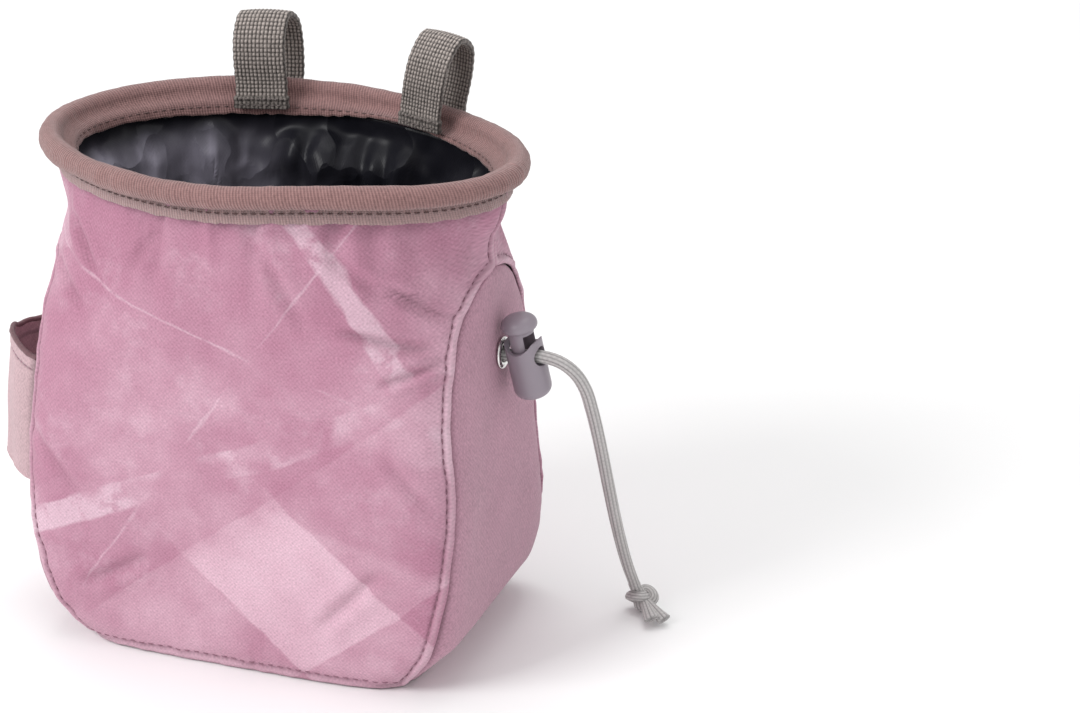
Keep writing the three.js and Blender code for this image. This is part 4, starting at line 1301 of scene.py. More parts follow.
@dataclass
class Gusset:
    """The plain band from one arch, down the side, under the bag and up to the other."""

    form: BagForm
    side_rows: int = 110
    base_rows: int = 70
    columns: int = 84
    thickness: float = 0.0008
    tuck: float = 0.0009
    eyelet_height: float = 0.094
    eyelet_hole: float = 0.0033

    def side_points(self, mirrored: bool) -> tuple[Array, Array]:
        """One side of the band, from its arch to the floor."""
        form = self.form
        dense = np.linspace(0, form.arch_height - 0.0002, 400)
        heights = even_rows(dense, form.section(dense)[0], self.side_rows)[::-1]
        start, end = form.seam_turn(heights, Side.FRONT), form.seam_turn(heights, Side.BACK)
        shares = edge_shares(self.columns, 2.0, 0.06)
        turn = start[:, None] * (1 - shares) + end[:, None] * shares
        turn = 180 - turn if mirrored else turn
        z = np.broadcast_to(heights[:, None], turn.shape)
        return form.point(turn, z), form.normal(turn, z)

    def grid(self) -> ClothGrid:
        """Lays out the whole band as one grid."""
        right, right_normals = self.side_points(False)
        left, left_normals = self.side_points(True)
        shares = np.linspace(0, 1, self.base_rows + 2)[1:-1, None, None]
        base = right[-1] * (1 - shares) + left[-1] * shares
        width, _, _, square = self.form.section(0.0)
        reach = (1 - np.clip(np.abs(base[..., 0]) / width, 0, 1) ** square) ** (1 / square)
        ends = (1 - np.clip(np.abs(right[-1, [0, -1], 0]) / width, 0, 1) ** square) ** (1 / square)
        share = np.linspace(0, 1, self.columns)
        spread = reach / (ends[0] * (1 - share) + ends[1] * share)
        base[..., 1] *= np.clip(spread, 0.9, 1.25)
        base[..., 2] = 0
        down = np.broadcast_to([0.0, 0.0, -1.0], base.shape)
        points = np.concatenate([right, base, left[::-1]])
        outward = np.concatenate([right_normals, down, left_normals[::-1]])
        across = np.linalg.norm(np.diff(points, axis=1), axis=-1).cumsum(1)
        along = np.linalg.norm(np.diff(points[:, self.columns // 2], axis=0), axis=-1).cumsum()
        uv = np.zeros((*points.shape[:2], 2))
        uv[:, 1:, 0] = across
        uv[1:, :, 1] = along[:, None]
        return ClothGrid(points, uv, outward)

    def relief(self, grid: ClothGrid) -> None:
        """Tucks the edges under the panels and gives the cloth soft waves."""
        width = grid.uv[:, -1:, 0]
        from_start, from_end = grid.uv[..., 0], width - grid.uv[..., 0]
        away = np.minimum(from_start, from_end)
        along = grid.uv[..., 1]
        away = np.minimum(away, np.minimum(along, along[-1:] - along) + 0.0004)
        raised = smoothstep(0.0, 0.004, grid.points[..., 2])
        cells = np.stack([along / 0.0045, away / 0.012, (from_start > from_end) * 3.0], -1)
        gathers = lattice_noise(cells, 41) * np.exp(-away / 0.006)
        broad = lattice_noise(np.stack([grid.uv[..., 0] / 0.022, along / 0.035, 0 * along], -1), 42)
        medium = lattice_noise(np.stack([grid.uv[..., 0] / 0.009, along / 0.014, 0 * along], -1), 43)
        waves = 0.0005 * broad + 0.00016 * medium + 0.0003 * gathers
        relief = waves * smoothstep(0, 0.012, away) + 0.00025 * gathers - self.tuck * bump(away, 0.0016)
        grid.push(relief * raised)
        # Mask for painted shade along the edges tucked under the panels.
        grid.masks["hollow"] = np.clip(0.95 * bump(away, 0.0014), 0, 1)
        grid.masks["ridge"] = np.zeros_like(away)

    def build(self, finishes: Finishes) -> None:
        """Makes the band, with the eyelet's hole through its right side."""
        grid = self.grid()
        self.relief(grid)
        piece = grid.shell("gusset_cloth", self.thickness)
        centre = Vector(self.form.point(np.array(0.0), np.array(self.eyelet_height)))
        work = bmesh.new()
        work.from_mesh(piece.data)
        gone = [f for f in work.faces if (f.calc_center_median() - centre).length < self.eyelet_hole]
        bmesh.ops.delete(work, geom=gone, context="FACES")
        work.to_mesh(piece.data)
        work.free()
        place(piece, finishes.gusset, ("gusset",))


@dataclass
class Lining:
    """The thin dark sack inside, crumpled and hanging in loose folds."""

    form: BagForm
    rows: int = 130
    columns: int = 300
    slack: float = 0.0018
    crumple: float = 0.0030
    thickness: float = 0.0006
    folds = table("turn wide depth", [
        (62, 5, 0.0050),
        (74, 4, 0.0022),
        (96, 7, 0.0030),
        (112, 4, 0.0034),
        (135, 6, 0.0042),
        (160, 8, 0.0034),
        (30, 7, 0.0036),
        (8, 6, 0.0028),
        (200, 9, 0.0030),
        (250, 9, 0.0026),
        (300, 9, 0.0030),
        (335, 8, 0.0026),
    ])

    def build(self, finishes: Finishes) -> None:
        """Makes the sack, its floor included."""
        form = self.form
        top = form.rim_height - form.panel_tuck
        dense = np.linspace(0.006, top, 300)
        heights = even_rows(dense, form.section(dense)[0], self.rows)
        turn = np.linspace(0, 360, self.columns, endpoint=False)
        turn, z = np.meshgrid(turn, heights)
        share = z / form.rim_height
        neck = smoothstep(0.8, 0.96, share)
        inset = form.cloth + form.layer_gap + self.slack * (1 - neck)
        normal = form.normal(turn, z)
        points = form.point(turn, z) - normal * inset[..., None]
        drape = smoothstep(0.955, 0.86, share)
        depth = np.zeros_like(z)
        for fold_turn, wide, fold_depth in zip(*self.folds.values()):
            drift = 6 * lattice_noise(np.stack([z / 0.04, 0 * z + fold_turn, 0 * z], -1), 51)
            away = (turn - fold_turn - drift + 180) % 360 - 180
            depth += fold_depth * bump(away, wide)
        cells = np.stack([points[..., 0] / 0.016, points[..., 1] / 0.016, z / 0.024], -1)
        crumpled = folded_noise(cells, 61)
        depth = (depth + self.crumple * crumpled) * drape
        points = points - normal * depth[..., None] * smoothstep(0.006, 0.02, z)[..., None]
        floor_height = form.cloth + form.layer_gap + 0.0006
        shares = np.array([0.02, 0.2, 0.4, 0.6, 0.8, 0.93])[:, None, None]
        floor = points[0] * [1, 1, 0] * shares + [0, 0, floor_height]
        floor_normals = np.broadcast_to([0.0, 0.0, -1.0], floor.shape)
        points = np.concatenate([floor, points])
        outward = np.concatenate([floor_normals, normal])
        uv = np.stack([turn * 0.001, z], -1)
        uv = np.concatenate([np.repeat(uv[:1], len(floor), 0) * [1, 0.5], uv])
        # Painted light on the left side, where light falls, and a painted highlight on crumpled crests.
        lit = smoothstep(-0.012, -0.05, points[len(floor) :, :, 0])
        crest = drape * (smoothstep(0.3, 0.8, crumpled) * (0.02 + 0.5 * lit) + 0.55 * lit)
        crest = np.concatenate([np.zeros(floor.shape[:2]), crest])
        grid = ClothGrid(points, uv, outward, closed=True, masks={"crest": crest})
        place(grid.shell("lining_sack", self.thickness), finishes.lining, ("lining",))


@dataclass
class RimBinding:
    """The stiff rim roll in ribbed tape, and the stitches in the groove below it."""

    form: BagForm
    columns: int = 460
    roll_points: int = 30
    stitch_rise: float = -0.0053
    stitch_stand: float = 1.08
    inner_stitch_rise: float = -0.0026
    inner_stitch_level: float = -0.003
    inner_stitch_stand: float = 0.55
    inner_stitch_follow: float = 0.55

    def section(self) -> tuple[Array, Array, Array]:
        """Works out the tape's section.

        Returns:
            Distance out from the panels, rise from the roll, and a share that is 1 where a
            point follows the inner flap's lower edge.
        """
        form = self.form
        drop, inner, tape = form.binding_drop, form.inner_drop, form.binding_tape
        flap_out = form.layer_gap + tape
        flap_in = -(form.cloth + 2 * form.layer_gap + form.lining_cloth)
        start = -math.acos((flap_out - 0.0002 - form.roll_overhang) / form.roll_radius)
        angle = np.linspace(start, math.radians(172), self.roll_points)
        roll = [(form.roll_overhang + form.roll_radius * math.cos(a), form.roll_radius * math.sin(a), 0)
                for a in angle]
        slot = 0.0003 - form.panel_tuck
        flaps = [
            (flap_in + 2.7 * tape, -0.0008, 0),
            (flap_in + 1.3 * tape, -0.0016, 0.1),
            (flap_in + 0.1 * tape, -0.0022, 0.2),
            (flap_in - 0.5 * tape, -0.0027, 0.4),
            (flap_in - 0.7 * tape, -0.0034, 0.7),
            (flap_in - 0.85 * tape, 0.0008 - inner, 1),
            (flap_in - 0.8 * tape, 0.0001 - inner, 1),
            (flap_in - 0.5 * tape, -inner, 1),
            (flap_in - 0.15 * tape, 0.0001 - inner, 1),
            (flap_in, 0.0006 - inner, 1),
            (flap_in, slot, 0.2),
            (form.layer_gap, slot, 0),
            (form.layer_gap, 0.5 * tape - drop, 0),
            (form.layer_gap + 0.15 * tape, 0.1 * tape - drop, 0),
            (form.layer_gap + 0.5 * tape, -drop, 0),
            (form.layer_gap + 0.85 * tape, 0.1 * tape - drop, 0),
            (flap_out, 0.5 * tape - drop, 0),
            (flap_out, 1.6 * tape - drop, 0),
            (flap_out - 0.1 * tape, 2.6 * tape - drop, 0),
            (flap_out - 0.35 * tape, 3.6 * tape - drop, 0),
            (flap_out - 0.5 * tape, 4.2 * tape - drop, 0),
            (flap_out - 0.2 * tape, 4.8 * tape - drop, 0),
        ]
        out, rise, follow = np.array(roll + flaps).T
        return out, rise, follow

    def build(self, finishes: Finishes) -> None:
        """Makes the binding and its stitches."""
        form = self.form
        out, rise, follow = self.section()
        turn = np.linspace(0, 360, self.columns, endpoint=False)
        turns = np.repeat(turn[:, None], len(out), 1)
        rim = form.point(turn, np.full_like(turn, form.rim_height))
        around = np.concatenate([[0], np.cumsum(np.linalg.norm(np.diff(rim, axis=0), axis=1))])
        circle = np.stack([np.cos(np.radians(turns)), np.sin(np.radians(turns)), 0 * turns], -1)
        swell = 1 + 0.05 * lattice_noise(circle * 5, 71) + 0.025 * lattice_noise(circle * 17, 72)
        is_roll = np.arange(len(out)) < self.roll_points
        outs = np.where(is_roll, form.roll_overhang + (out - form.roll_overhang) * swell, out)
        low = smoothstep(-0.0066, -0.0084, rise) + smoothstep(0.9, 1.0, follow)
        hang = low * (0.0003 * lattice_noise(circle * 12, 73) + 0.00022 * lattice_noise(circle * 40, 74))
        flare = low * 0.00025 * (1 + lattice_noise(circle * 22, 75)) * np.sign(out)
        wrinkle = 0.00016 * lattice_noise(circle * 48, 76) * (np.abs(rise) < form.binding_drop)
        rises = np.where(is_roll, rise * swell, rise + hang) + follow * form.hills(turns, form.inner_lifts)
        points = form.rim_point(turns, outs + flare + wrinkle, rises)
        profile = np.concatenate([[0], np.cumsum(np.hypot(np.diff(out), np.diff(rise)))])
        uv = np.stack([np.repeat(around[:, None], len(out), 1), np.repeat(profile[None], len(turn), 0)], -1)
        count = len(out)
        closed = np.concatenate([points, points[:1]]).reshape(-1, 3)
        flat = np.concatenate([uv, uv[:1] + [around[-1], 0]]).reshape(-1, 2)
        piece = mesh_object("rim_tape", closed, grid_faces(len(turn) + 1, count, 0, True), flat)
        # Masks for painted shade in the stitch grooves and for painted light on the strip below the roll, where
        # the roll casts shade.
        groove = bump(rise - self.stitch_rise, 0.0006) * (out > -0.001)
        inner_groove = bump(rise - self.inner_stitch_rise, 0.0008) * (out < -0.001)
        hollow = np.tile(np.clip(groove + inner_groove, 0, 1), len(turn) + 1)
        strip = (out > 0) * smoothstep(-0.0034, -0.0042, rise)
        store_mask(piece, "hollow", hollow)
        store_mask(piece, "ridge", np.tile(strip, len(turn) + 1))
        face_outward(piece)
        place(piece, finishes.tape, ("rim_binding",))
        flap_in = -(form.cloth + 2 * form.layer_gap + form.lining_cloth)
        outer = form.layer_gap + self.stitch_stand * form.binding_tape
        inner = flap_in - self.inner_stitch_stand * form.binding_tape
        runs = [
            self.stitch_line(turn, outer, self.stitch_rise, 0, 1),
            self.stitch_line(turn, inner, self.inner_stitch_level, self.inner_stitch_follow, -1),
        ]
        place(stitch_object("rim_stitches", runs), finishes.tape_thread)

    def stitch_line(self, turn: Array, out: float, rise: float, follow: float, way: int) -> StitchRun:
        """Stitches all the way round, on the outer or the inner flap.

        Args:
            turn: the turns to pass through.
            out: distance out from the panels.
            rise: from the middle of the roll.
            follow: how far the stitches follow the inner flap's edge.
            way: 1 for the outer side and -1 for the inner side.

        Returns:
            The run of stitches.
        """
        closed = np.append(turn, turn[:1] + 360)
        lift = rise + follow * self.form.hills(closed, self.form.inner_lifts)
        line = self.form.rim_point(closed, np.full_like(closed, out), lift)
        normal = self.form.normal(closed, np.full_like(closed, self.form.rim_height)) * [1, 1, 0]
        return StitchRun(line, unit(normal) * way, 0.0027, 0.0018, 0.0002, 0.00012)


class LoopPlace(Enum):
    """The two belt loops.

    Each has its place across the bag, its lean in degrees, how far its outer leg is sewn
    beside its inner one, how far its hem lies below the middle of the roll, and its rise.
    """

    LEFT = (-0.351, -2.5, 0.003, 0.0034, 0.0244)
    RIGHT = (0.445, 11.0, -0.0025, 0.0014, 0.0262)


@dataclass
class BeltLoop:
    """A loop of woven webbing sewn over the back of the rim."""

    form: BagForm
    spot: LoopPlace
    width: float = 0.0156
    thickness: float = 0.0015
    gap: float = 0.0006
    spread: float = 0.0026
    tail: float = 0.0015
    lean_start: float = 0.004
    ribs: int = 13
    steps: int = 520
    across: int = 118
    pick: float = 0.00125
    weave_height: float = 0.00036
    hem_end: float = 0.0040
    hem_flat: float = 0.0034
    hem_rise: float = 0.0006
    hem_calm: float = 0.45
    hem_widening: float = 0.05
    stitch_rows: tuple[float, float] = (0.0012, 0.0032)

    def line(self, hem: float, rise: float) -> list[tuple[float, float]]:
        """The webbing's middle line: out from the panels' face, and up from the roll.

        Args:
            hem: how far its inner end lies below the middle of the roll.
            rise: how far it stands above the middle of the roll.

        Returns:
            The points that the line passes through.
        """
        form = self.form
        half = self.thickness / 2
        flap_in = -(form.cloth + 2 * form.layer_gap + form.lining_cloth + form.binding_tape)
        inside = flap_in - self.gap - half
        wrap = form.roll_radius + self.gap + half
        outside = form.roll_overhang + wrap
        tail = form.layer_gap + form.binding_tape + self.gap + half
        top = rise - half
        depth = outside - inside

        def round_roll(degrees: float) -> tuple[float, float]:
            """A point that keeps its distance to the roll."""
            angle = math.radians(degrees)
            return form.roll_overhang + wrap * math.cos(angle), wrap * math.sin(angle)

        drop = form.binding_drop
        return [
            (inside, -hem), (inside, -hem / 4), (inside + 0.02 * depth, 0.2 * top),
            (inside + 0.06 * depth - 0.3 * self.spread, 0.5 * top),
            (inside + 0.18 * depth - 0.3 * self.spread, 0.8 * top),
            ((inside + outside) / 2, top),
            (outside - 0.17 * depth + self.spread, 0.84 * top),
            (outside - 0.04 * depth + self.spread, 0.55 * top),
            (outside + 0.5 * self.spread, 0.2 * top), (outside, 0),
            round_roll(-30), round_roll(-60), round_roll(-85), (tail, -drop + 0.0003),
            (tail, -drop - self.tail),
        ]

    def build(self, finishes: Finishes) -> None:
        """Makes the webbing with its woven threads, and its hem stitches."""
        form = self.form
        share, lean, skew, hem, rise = self.spot.value
        width, _, back, square = form.section(form.rim_height)
        x = share * form.half_width
        y = back * (1 - abs(x / width) ** square) ** (1 / square)
        turn = np.array(math.degrees(math.atan2(y, x)))
        origin = form.point(turn, np.array(form.rim_height))
        outward = unit(form.normal(turn, np.array(form.rim_height)) * [1, 1, 0])
        up = np.array([0.0, 0.0, 1.0])
        side = np.cross(outward, up)
        corners = self.line(hem, rise)
        curve = smooth_curve(corners, self.steps)
        tangent = unit(np.gradient(curve, axis=0))
        normal = np.stack([-tangent[:, 1], tangent[:, 0]], -1)
        length = np.linspace(0, np.linalg.norm(np.diff(curve, axis=0), axis=1).sum(), self.steps)
        face = np.linspace(-1, 1, self.across)
        edge = np.array([0.5, 0.0, -0.5])
        place_across = np.concatenate([face, np.ones(3), face[::-1], -np.ones(3)])
        place_over = np.concatenate([np.ones(self.across), edge, -np.ones(self.across), -edge])
        bulge = np.where(np.abs(place_over) < 1, 0.00022 * (1 - place_over**2), 0)
        rib = place_across * self.ribs / 2
        crown = np.abs(np.cos(np.pi * rib))[None] ** 0.75
        bead = np.abs(np.sin(np.pi * length[:, None] / self.pick)) ** 0.75
        over = np.where(np.abs(place_over) == 1, 1.0, 0.0)
        selvedge = smoothstep(1.0, 0.95, np.abs(place_across))
        height = crown * (0.25 + 0.75 * bead) * over * (0.35 + 0.65 * selvedge)
        raised = self.weave_height * height * np.sign(place_over)
        sag = 0.0005 * np.sin(np.linspace(0, np.pi, self.steps))[:, None] * (1 - place_across**2)
        hemmed = smoothstep(self.hem_end, self.hem_flat, length)[:, None]
        hem_fold = self.hem_rise * hemmed * np.maximum(place_over, 0)
        calm = 1 - self.hem_calm * hemmed
        off = place_over * (self.thickness / 2 - 0.0001) + raised * calm + sag + hem_fold
        flat = curve[:, None] + normal[:, None] * off[..., None]
        edge_wave = 0.012 * np.sin(2 * np.pi * length[:, None] / (2 * self.pick))
        broad = 1 + self.hem_widening * hemmed + edge_wave
        w = (place_across * (self.width / 2 - 0.0002) + bulge * np.sign(place_across)) * broad
        w = w + math.tan(math.radians(lean)) * np.maximum(flat[..., 1] - self.lean_start, 0)
        w = w + skew * (flat[..., 0] - corners[0][0]) / (corners[9][0] - corners[0][0])
        points = origin + outward * flat[..., :1] + up * flat[..., 1:] + side * w[..., None]
        count = len(place_across)
        uv = np.stack(np.broadcast_arrays(place_across[None] * self.width / 2, length[:, None]), -1)
        name = f"belt_loop_{self.spot.name.lower()}"
        piece = mesh_object(f"{name}_webbing", points.reshape(-1, 3),
                            grid_faces(self.steps, count, 0, True), uv.reshape(-1, 2))
        # Mask for painted shade: low between the beads and at the edges, and lower at the hem.
        tone = np.clip(height**1.4 * over + 0.3 * (1 - over), 0, 1) * calm
        store_mask(piece, "ridge", tone.ravel())
        self.close_ends(piece, count)
        place(piece, finishes.webbing, (name,))
        rows = [int(np.argmin(np.abs(length - s))) for s in self.stitch_rows]
        runs = []
        for row in rows:
            line = points[row, 4 : self.across - 4]
            facing = np.repeat(-outward[None], len(line), 0)
            runs.append(StitchRun(line, facing, 0.0019, 0.0015, 0.00026, 0.00030))
        place(stitch_object(f"{name}_stitches", runs), finishes.hem_thread)

    def close_ends(self, piece: Piece, count: int) -> None:
        """Closes the cut ends of the webbing."""
        work = bmesh.new()
        work.from_mesh(piece.data)
        work.verts.ensure_lookup_table()
        for ring in (0, (self.steps - 1) * count):
            work.faces.new([work.verts[ring + j] for j in range(count)])
        bmesh.ops.recalc_face_normals(work, faces=work.faces)
        work.to_mesh(piece.data)
        work.free()


@dataclass
class BrushSleeve:
    """A tube of cloth on the left gusset, with a hemmed mouth."""

    form: BagForm
    bottom: float = 0.046
    top: float = 0.086
    front: float = -0.033
    width: float = 0.037
    bulge_top: float = 0.0175
    bulge_bottom: float = 0.0205
    clear: float = 0.0006
    rows: int = 110
    columns: int = 130
    thickness: float = 0.0009
    hem_radius: float = 0.0008
    outline = table("height out", [
        (0, 0), (0.04, 0.16), (0.12, 0.36), (0.24, 0.58), (0.38, 0.78), (0.52, 0.93),
        (0.66, 1), (0.8, 0.95), (0.9, 0.76), (0.97, 0.42), (1, 0),
    ])

    def face(self, y: Array, z: Array) -> Array:
        """How far out the gusset lies at a place on the side."""
        width, front, back, square = self.form.section(z)
        depth = np.where(y < 0, front, back)
        return width * (1 - np.abs(y / depth) ** square) ** (1 / square)

    def build(self, finishes: Finishes) -> None:
        """Makes the tube, its rolled hems and its stitches."""
        knots = smooth_curve(list(zip(self.outline["height"], self.outline["out"])), self.columns)
        along, out = knots[:, 0], knots[:, 1]
        share = np.linspace(0, 1, self.rows)
        shares, alongs = np.meshgrid(share, along, indexing="ij")
        outs = np.broadcast_to(out, shares.shape)
        z = self.bottom + (self.top - self.bottom) * shares
        bulge = self.bulge_bottom + (self.bulge_top - self.bulge_bottom) * shares
        y = self.front + alongs * self.width
        waves = 0.0009 * lattice_noise(np.stack([alongs * 4, shares * 2.5, 0 * y], -1), 81) * outs
        waves = waves + 0.0004 * lattice_noise(np.stack([alongs * 11, shares * 4, 0 * y], -1), 82) * outs
        x = -self.face(y, z) - self.clear - outs * bulge - waves
        slump = 0.0016 * np.sin(alongs * 5.2 + 0.6) * outs * shares**3
        crumple = lattice_noise(np.stack([alongs * 9, 0 * y, 0 * y], -1), 83)
        slump = slump + 0.0009 * crumple * outs * shares**6
        points = np.stack([x, y, z + slump], -1)
        outward = unit(np.stack([-np.ones_like(x), (y + 0.014) * 40, 0 * z], -1))
        uv = np.stack([alongs * 0.06, z], -1)
        from_top = self.top - z
        # Mask for painted shade along the hem's stitch line and along the front edge, where the sleeve meets
        # the bag.
        hollow = np.clip(bump(from_top - 0.0042, 0.0004) + bump(alongs, 0.02), 0, 1)
        grid = ClothGrid(points, uv, outward, masks={"hollow": hollow, "ridge": 0 * z})
        hem_line = -0.0003 * bump(from_top - 0.0042, 0.0006) + 0.0003 * smoothstep(0.0045, 0.003, from_top)
        grid.push(hem_line)
        normals = grid.normals()
        place(grid.shell("brush_sleeve_cloth", self.thickness), finishes.sleeve,
              ("brush_sleeve",))
        for label, row, rise in (("mouth", -1, 0.0002), ("foot", 0, -0.0001)):
            line = grid.points[row] - normals[row] * self.thickness / 2 + [0, 0, rise]
            line = smooth_curve([tuple(p) for p in line[::3]], 150)
            angle = np.linspace(0, 2 * np.pi, 14, endpoint=False)
            radius = self.hem_radius * (1 if row else 0.8)
            section = np.stack([np.cos(angle), np.sin(angle)], -1) * radius
            swell = 1 + 0.12 * lattice_noise(np.stack([np.arange(150) / 6.0] * 3, -1), 84)
            hem = swept_tube(f"brush_sleeve_{label}_hem", line, np.array([0.0, 0.0, 1.0]),
                             section[None] * swell[:, None, None], np.zeros(150))
            for mask in ("hollow", "ridge"):
                store_mask(hem, mask, np.zeros(len(hem.data.vertices)))
            place(hem, finishes.hem if row else finishes.sleeve)
        row = int(np.argmin(np.abs(self.top - z[:, 0] - 0.0042)))
        run = StitchRun(grid.points[row, 2:-2], normals[row, 2:-2], 0.0026, 0.0018, 0.0002)
        place(stitch_object("brush_sleeve_stitches", [run]), finishes.seam_thread)


def lathe_object(name: str, profile: list[tuple[float, float]], sides: int) -> Piece:
    """Turns a closed profile about the Z axis.

    Args:
        name: the piece's name.
        profile: radius and height of each corner, in order.
        sides: how many steps round.

    Returns:
        The new object.
    """
    angle = np.linspace(0, 2 * np.pi, sides, endpoint=False)
    p = np.array(profile, float)
    rings = np.stack([
        p[:, :1] * np.cos(angle), p[:, :1] * np.sin(angle), np.broadcast_to(p[:, 1:], (len(p), sides)),
    ], -1)
    closed = np.concatenate([rings, rings[:1]])
    made = mesh_object(name, closed.reshape(-1, 3), grid_faces(len(closed), sides, 0, True))
    work = bmesh.new()
    work.from_mesh(made.data)
    bmesh.ops.remove_doubles(work, verts=work.verts, dist=1e-7)
    bmesh.ops.recalc_face_normals(work, faces=work.faces)
    work.to_mesh(made.data)
    work.free()
    return made


def apply_modifiers(piece: Piece) -> None:
    """Turns a piece's modifiers into plain mesh."""
    graph = bpy.context.evaluated_depsgraph_get()
    mesh = bpy.data.meshes.new_from_object(piece.evaluated_get(graph))
    piece.modifiers.clear()
    piece.data = mesh


@dataclass
class CordLock:
    """The sprung cord lock: a barrel with a saddle-cut mouth, and a domed plunger."""

    form: BagForm
    radius: float = 0.0056
    bottom: float = -0.0131
    top: float = 0.005
    bore: float = 0.0042
    floor: float = -0.0092
    hole: float = 0.0029
    tilt_in: float = 10.0
    tilt_forward: float = 6.0
    turn: float = 10.0
    corner: float = 0.0031
    saddle_radius: float = 0.0053
    saddle_depth: float = 0.0026
    clearance: float = 0.0003
    travel: float = 0.0032
    foot: float = -0.0055
    slot_top: float = 0.0072
    head_clearance: float = 0.0003
    head_radius: float = 0.0054
    head_height: float = 0.0044
    eyelet_height: float = 0.094
    stand_off: float = 0.0007
    flange_face: float = 0.0011
    voxel: float = 0.00018

    def matrix(self) -> Matrix:
        """Where the lock hangs, beside the eyelet."""
        turn, z = np.array(0.0), np.array(self.eyelet_height)
        offset = self.flange_face + self.stand_off + self.radius
        origin = self.form.point(turn, z) + self.form.normal(turn, z) * offset
        forward = Matrix.Rotation(math.radians(self.tilt_forward), 4, "X")
        inward = Matrix.Rotation(math.radians(-self.tilt_in), 4, "Y")
        about = Matrix.Rotation(math.radians(-self.turn), 4, "Z")
        return Matrix.Translation(Vector(origin)) @ forward @ inward @ about

    def carve(self, piece: Piece, tools: list[Piece]) -> None:
        """Cuts the tools out of a piece, then softens every edge as a mould does."""
        for tool in tools:
            step = piece.modifiers.new("cut", "BOOLEAN")
            step.operation = "DIFFERENCE"
            step.solver = "EXACT"
            step.object = tool
        skin = piece.modifiers.new("skin", "REMESH")
        skin.mode = "VOXEL"
        skin.voxel_size = self.voxel
        skin.use_smooth_shade = True
        soften = piece.modifiers.new("soften", "SMOOTH")
        soften.factor = 0.5
        soften.iterations = 6
        bpy.context.view_layer.update()
        apply_modifiers(piece)
        for tool in tools:
            bpy.data.objects.remove(tool)
        piece.data.transform(self.matrix())

    def cylinder(self, radius: float, direction: str, rise: float) -> Piece:
        """A long round tool along X or Y at a height."""
        reach = 4 * self.radius
        tool = lathe_object("tool", [(0, -reach), (radius, -reach), (radius, reach), (0, reach)], 72)
        turned = Matrix.Rotation(math.radians(90), 4, "Y" if direction == "X" else "X")
        tool.data.transform(Matrix.Translation((0, 0, rise)) @ turned)
        return tool

    def barrel(self) -> Piece:
        """The barrel, with rounded foot, cord hole and saddle."""
        corner = self.corner
        foot = [
            (self.radius - corner + corner * math.sin(a), self.bottom + corner - corner * math.cos(a))
            for a in np.linspace(0, math.pi / 2, 9)
        ]
        profile = [(0, self.bottom), *foot, (self.radius, self.top), (self.bore, self.top),
                   (self.bore, self.floor), (0, self.floor)]
        piece = lathe_object("cord_lock_barrel_body", profile, 96)
        saddle = self.cylinder(self.saddle_radius, "Y", self.top - self.saddle_depth + self.saddle_radius)
        self.carve(piece, [self.cylinder(self.hole, "X", 0.0), saddle])
        return piece

    def plunger(self) -> Piece:
        """The plunger, with its domed head and the slot that the cord passes through."""
        shank = self.bore - self.clearance
        head = self.top + self.travel + self.head_clearance
        brim = 0.0013
        dome = [
            (self.head_radius * math.cos(a) ** 0.8, head + brim + (self.head_height - brim) * math.sin(a))
            for a in np.linspace(0, math.pi / 2, 14)[:-1]
        ]
        profile = [(0, self.foot), (shank, self.foot), (shank, head - 0.0004), (shank + 0.0002, head),
                   (0.93 * self.head_radius, head + 0.0002), (0.985 * self.head_radius, head + 0.0007),
                   *dome, (0, head + self.head_height)]
        piece = lathe_object("cord_lock_plunger_body", profile, 96)
        work = bmesh.new()
        bmesh.ops.create_cube(work, size=1.0)
        height = self.slot_top + self.hole
        scale = Matrix.Diagonal((4 * self.radius, 2 * self.hole, height, 1))
        work.transform(Matrix.Translation((0, 0, height / 2 - self.hole)) @ scale)
        mesh = bpy.data.meshes.new("tool")
        work.to_mesh(mesh)
        work.free()
        tool = bpy.data.objects.new("tool", mesh)
        bpy.context.scene.collection.objects.link(tool)
        self.carve(piece, [tool])
        return piece

    def build(self, finishes: Finishes) -> list[Piece]:
        """Makes both parts and returns them."""
        barrel = place(self.barrel(), finishes.plastic, ("cord_lock_barrel",))
        plunger = place(self.plunger(), finishes.plastic, ("cord_lock_plunger",),
                        PLUNGER_BODY)
        return [barrel, plunger]


@dataclass
class Eyelet:
    """The flanged metal ring that the drawcord leaves through."""

    form: BagForm
    height: float = 0.094
    bore: float = 0.0026
    wall: float = 0.0005
    flange: float = 0.0048
    lip: float = 0.0008
    gap: float = 0.0003
    depth: float = 0.0015

    def build(self, finishes: Finishes) -> None:
        """Makes the rolled ring and sets it in the gusset."""
        middle, half = (self.bore + self.flange) / 2, (self.flange - self.bore) / 2
        crown = [
            (middle + half * math.cos(a), self.gap + self.lip * math.sin(a) ** 0.7)
            for a in np.linspace(0.0, math.pi, 15)
        ]
        tube = self.bore + self.wall
        profile = [*crown, (self.bore, -self.depth), (tube, -self.depth), (tube, self.gap)]
        piece = lathe_object("eyelet_ring", profile, 72)
        turn, z = np.array(0.0), np.array(self.height)
        normal = Vector(self.form.normal(turn, z))
        turned = normal.to_track_quat("Z", "Y").to_matrix().to_4x4()
        piece.data.transform(Matrix.Translation(Vector(self.form.point(turn, z))) @ turned)
        place(piece, finishes.metal, ("eyelet",))


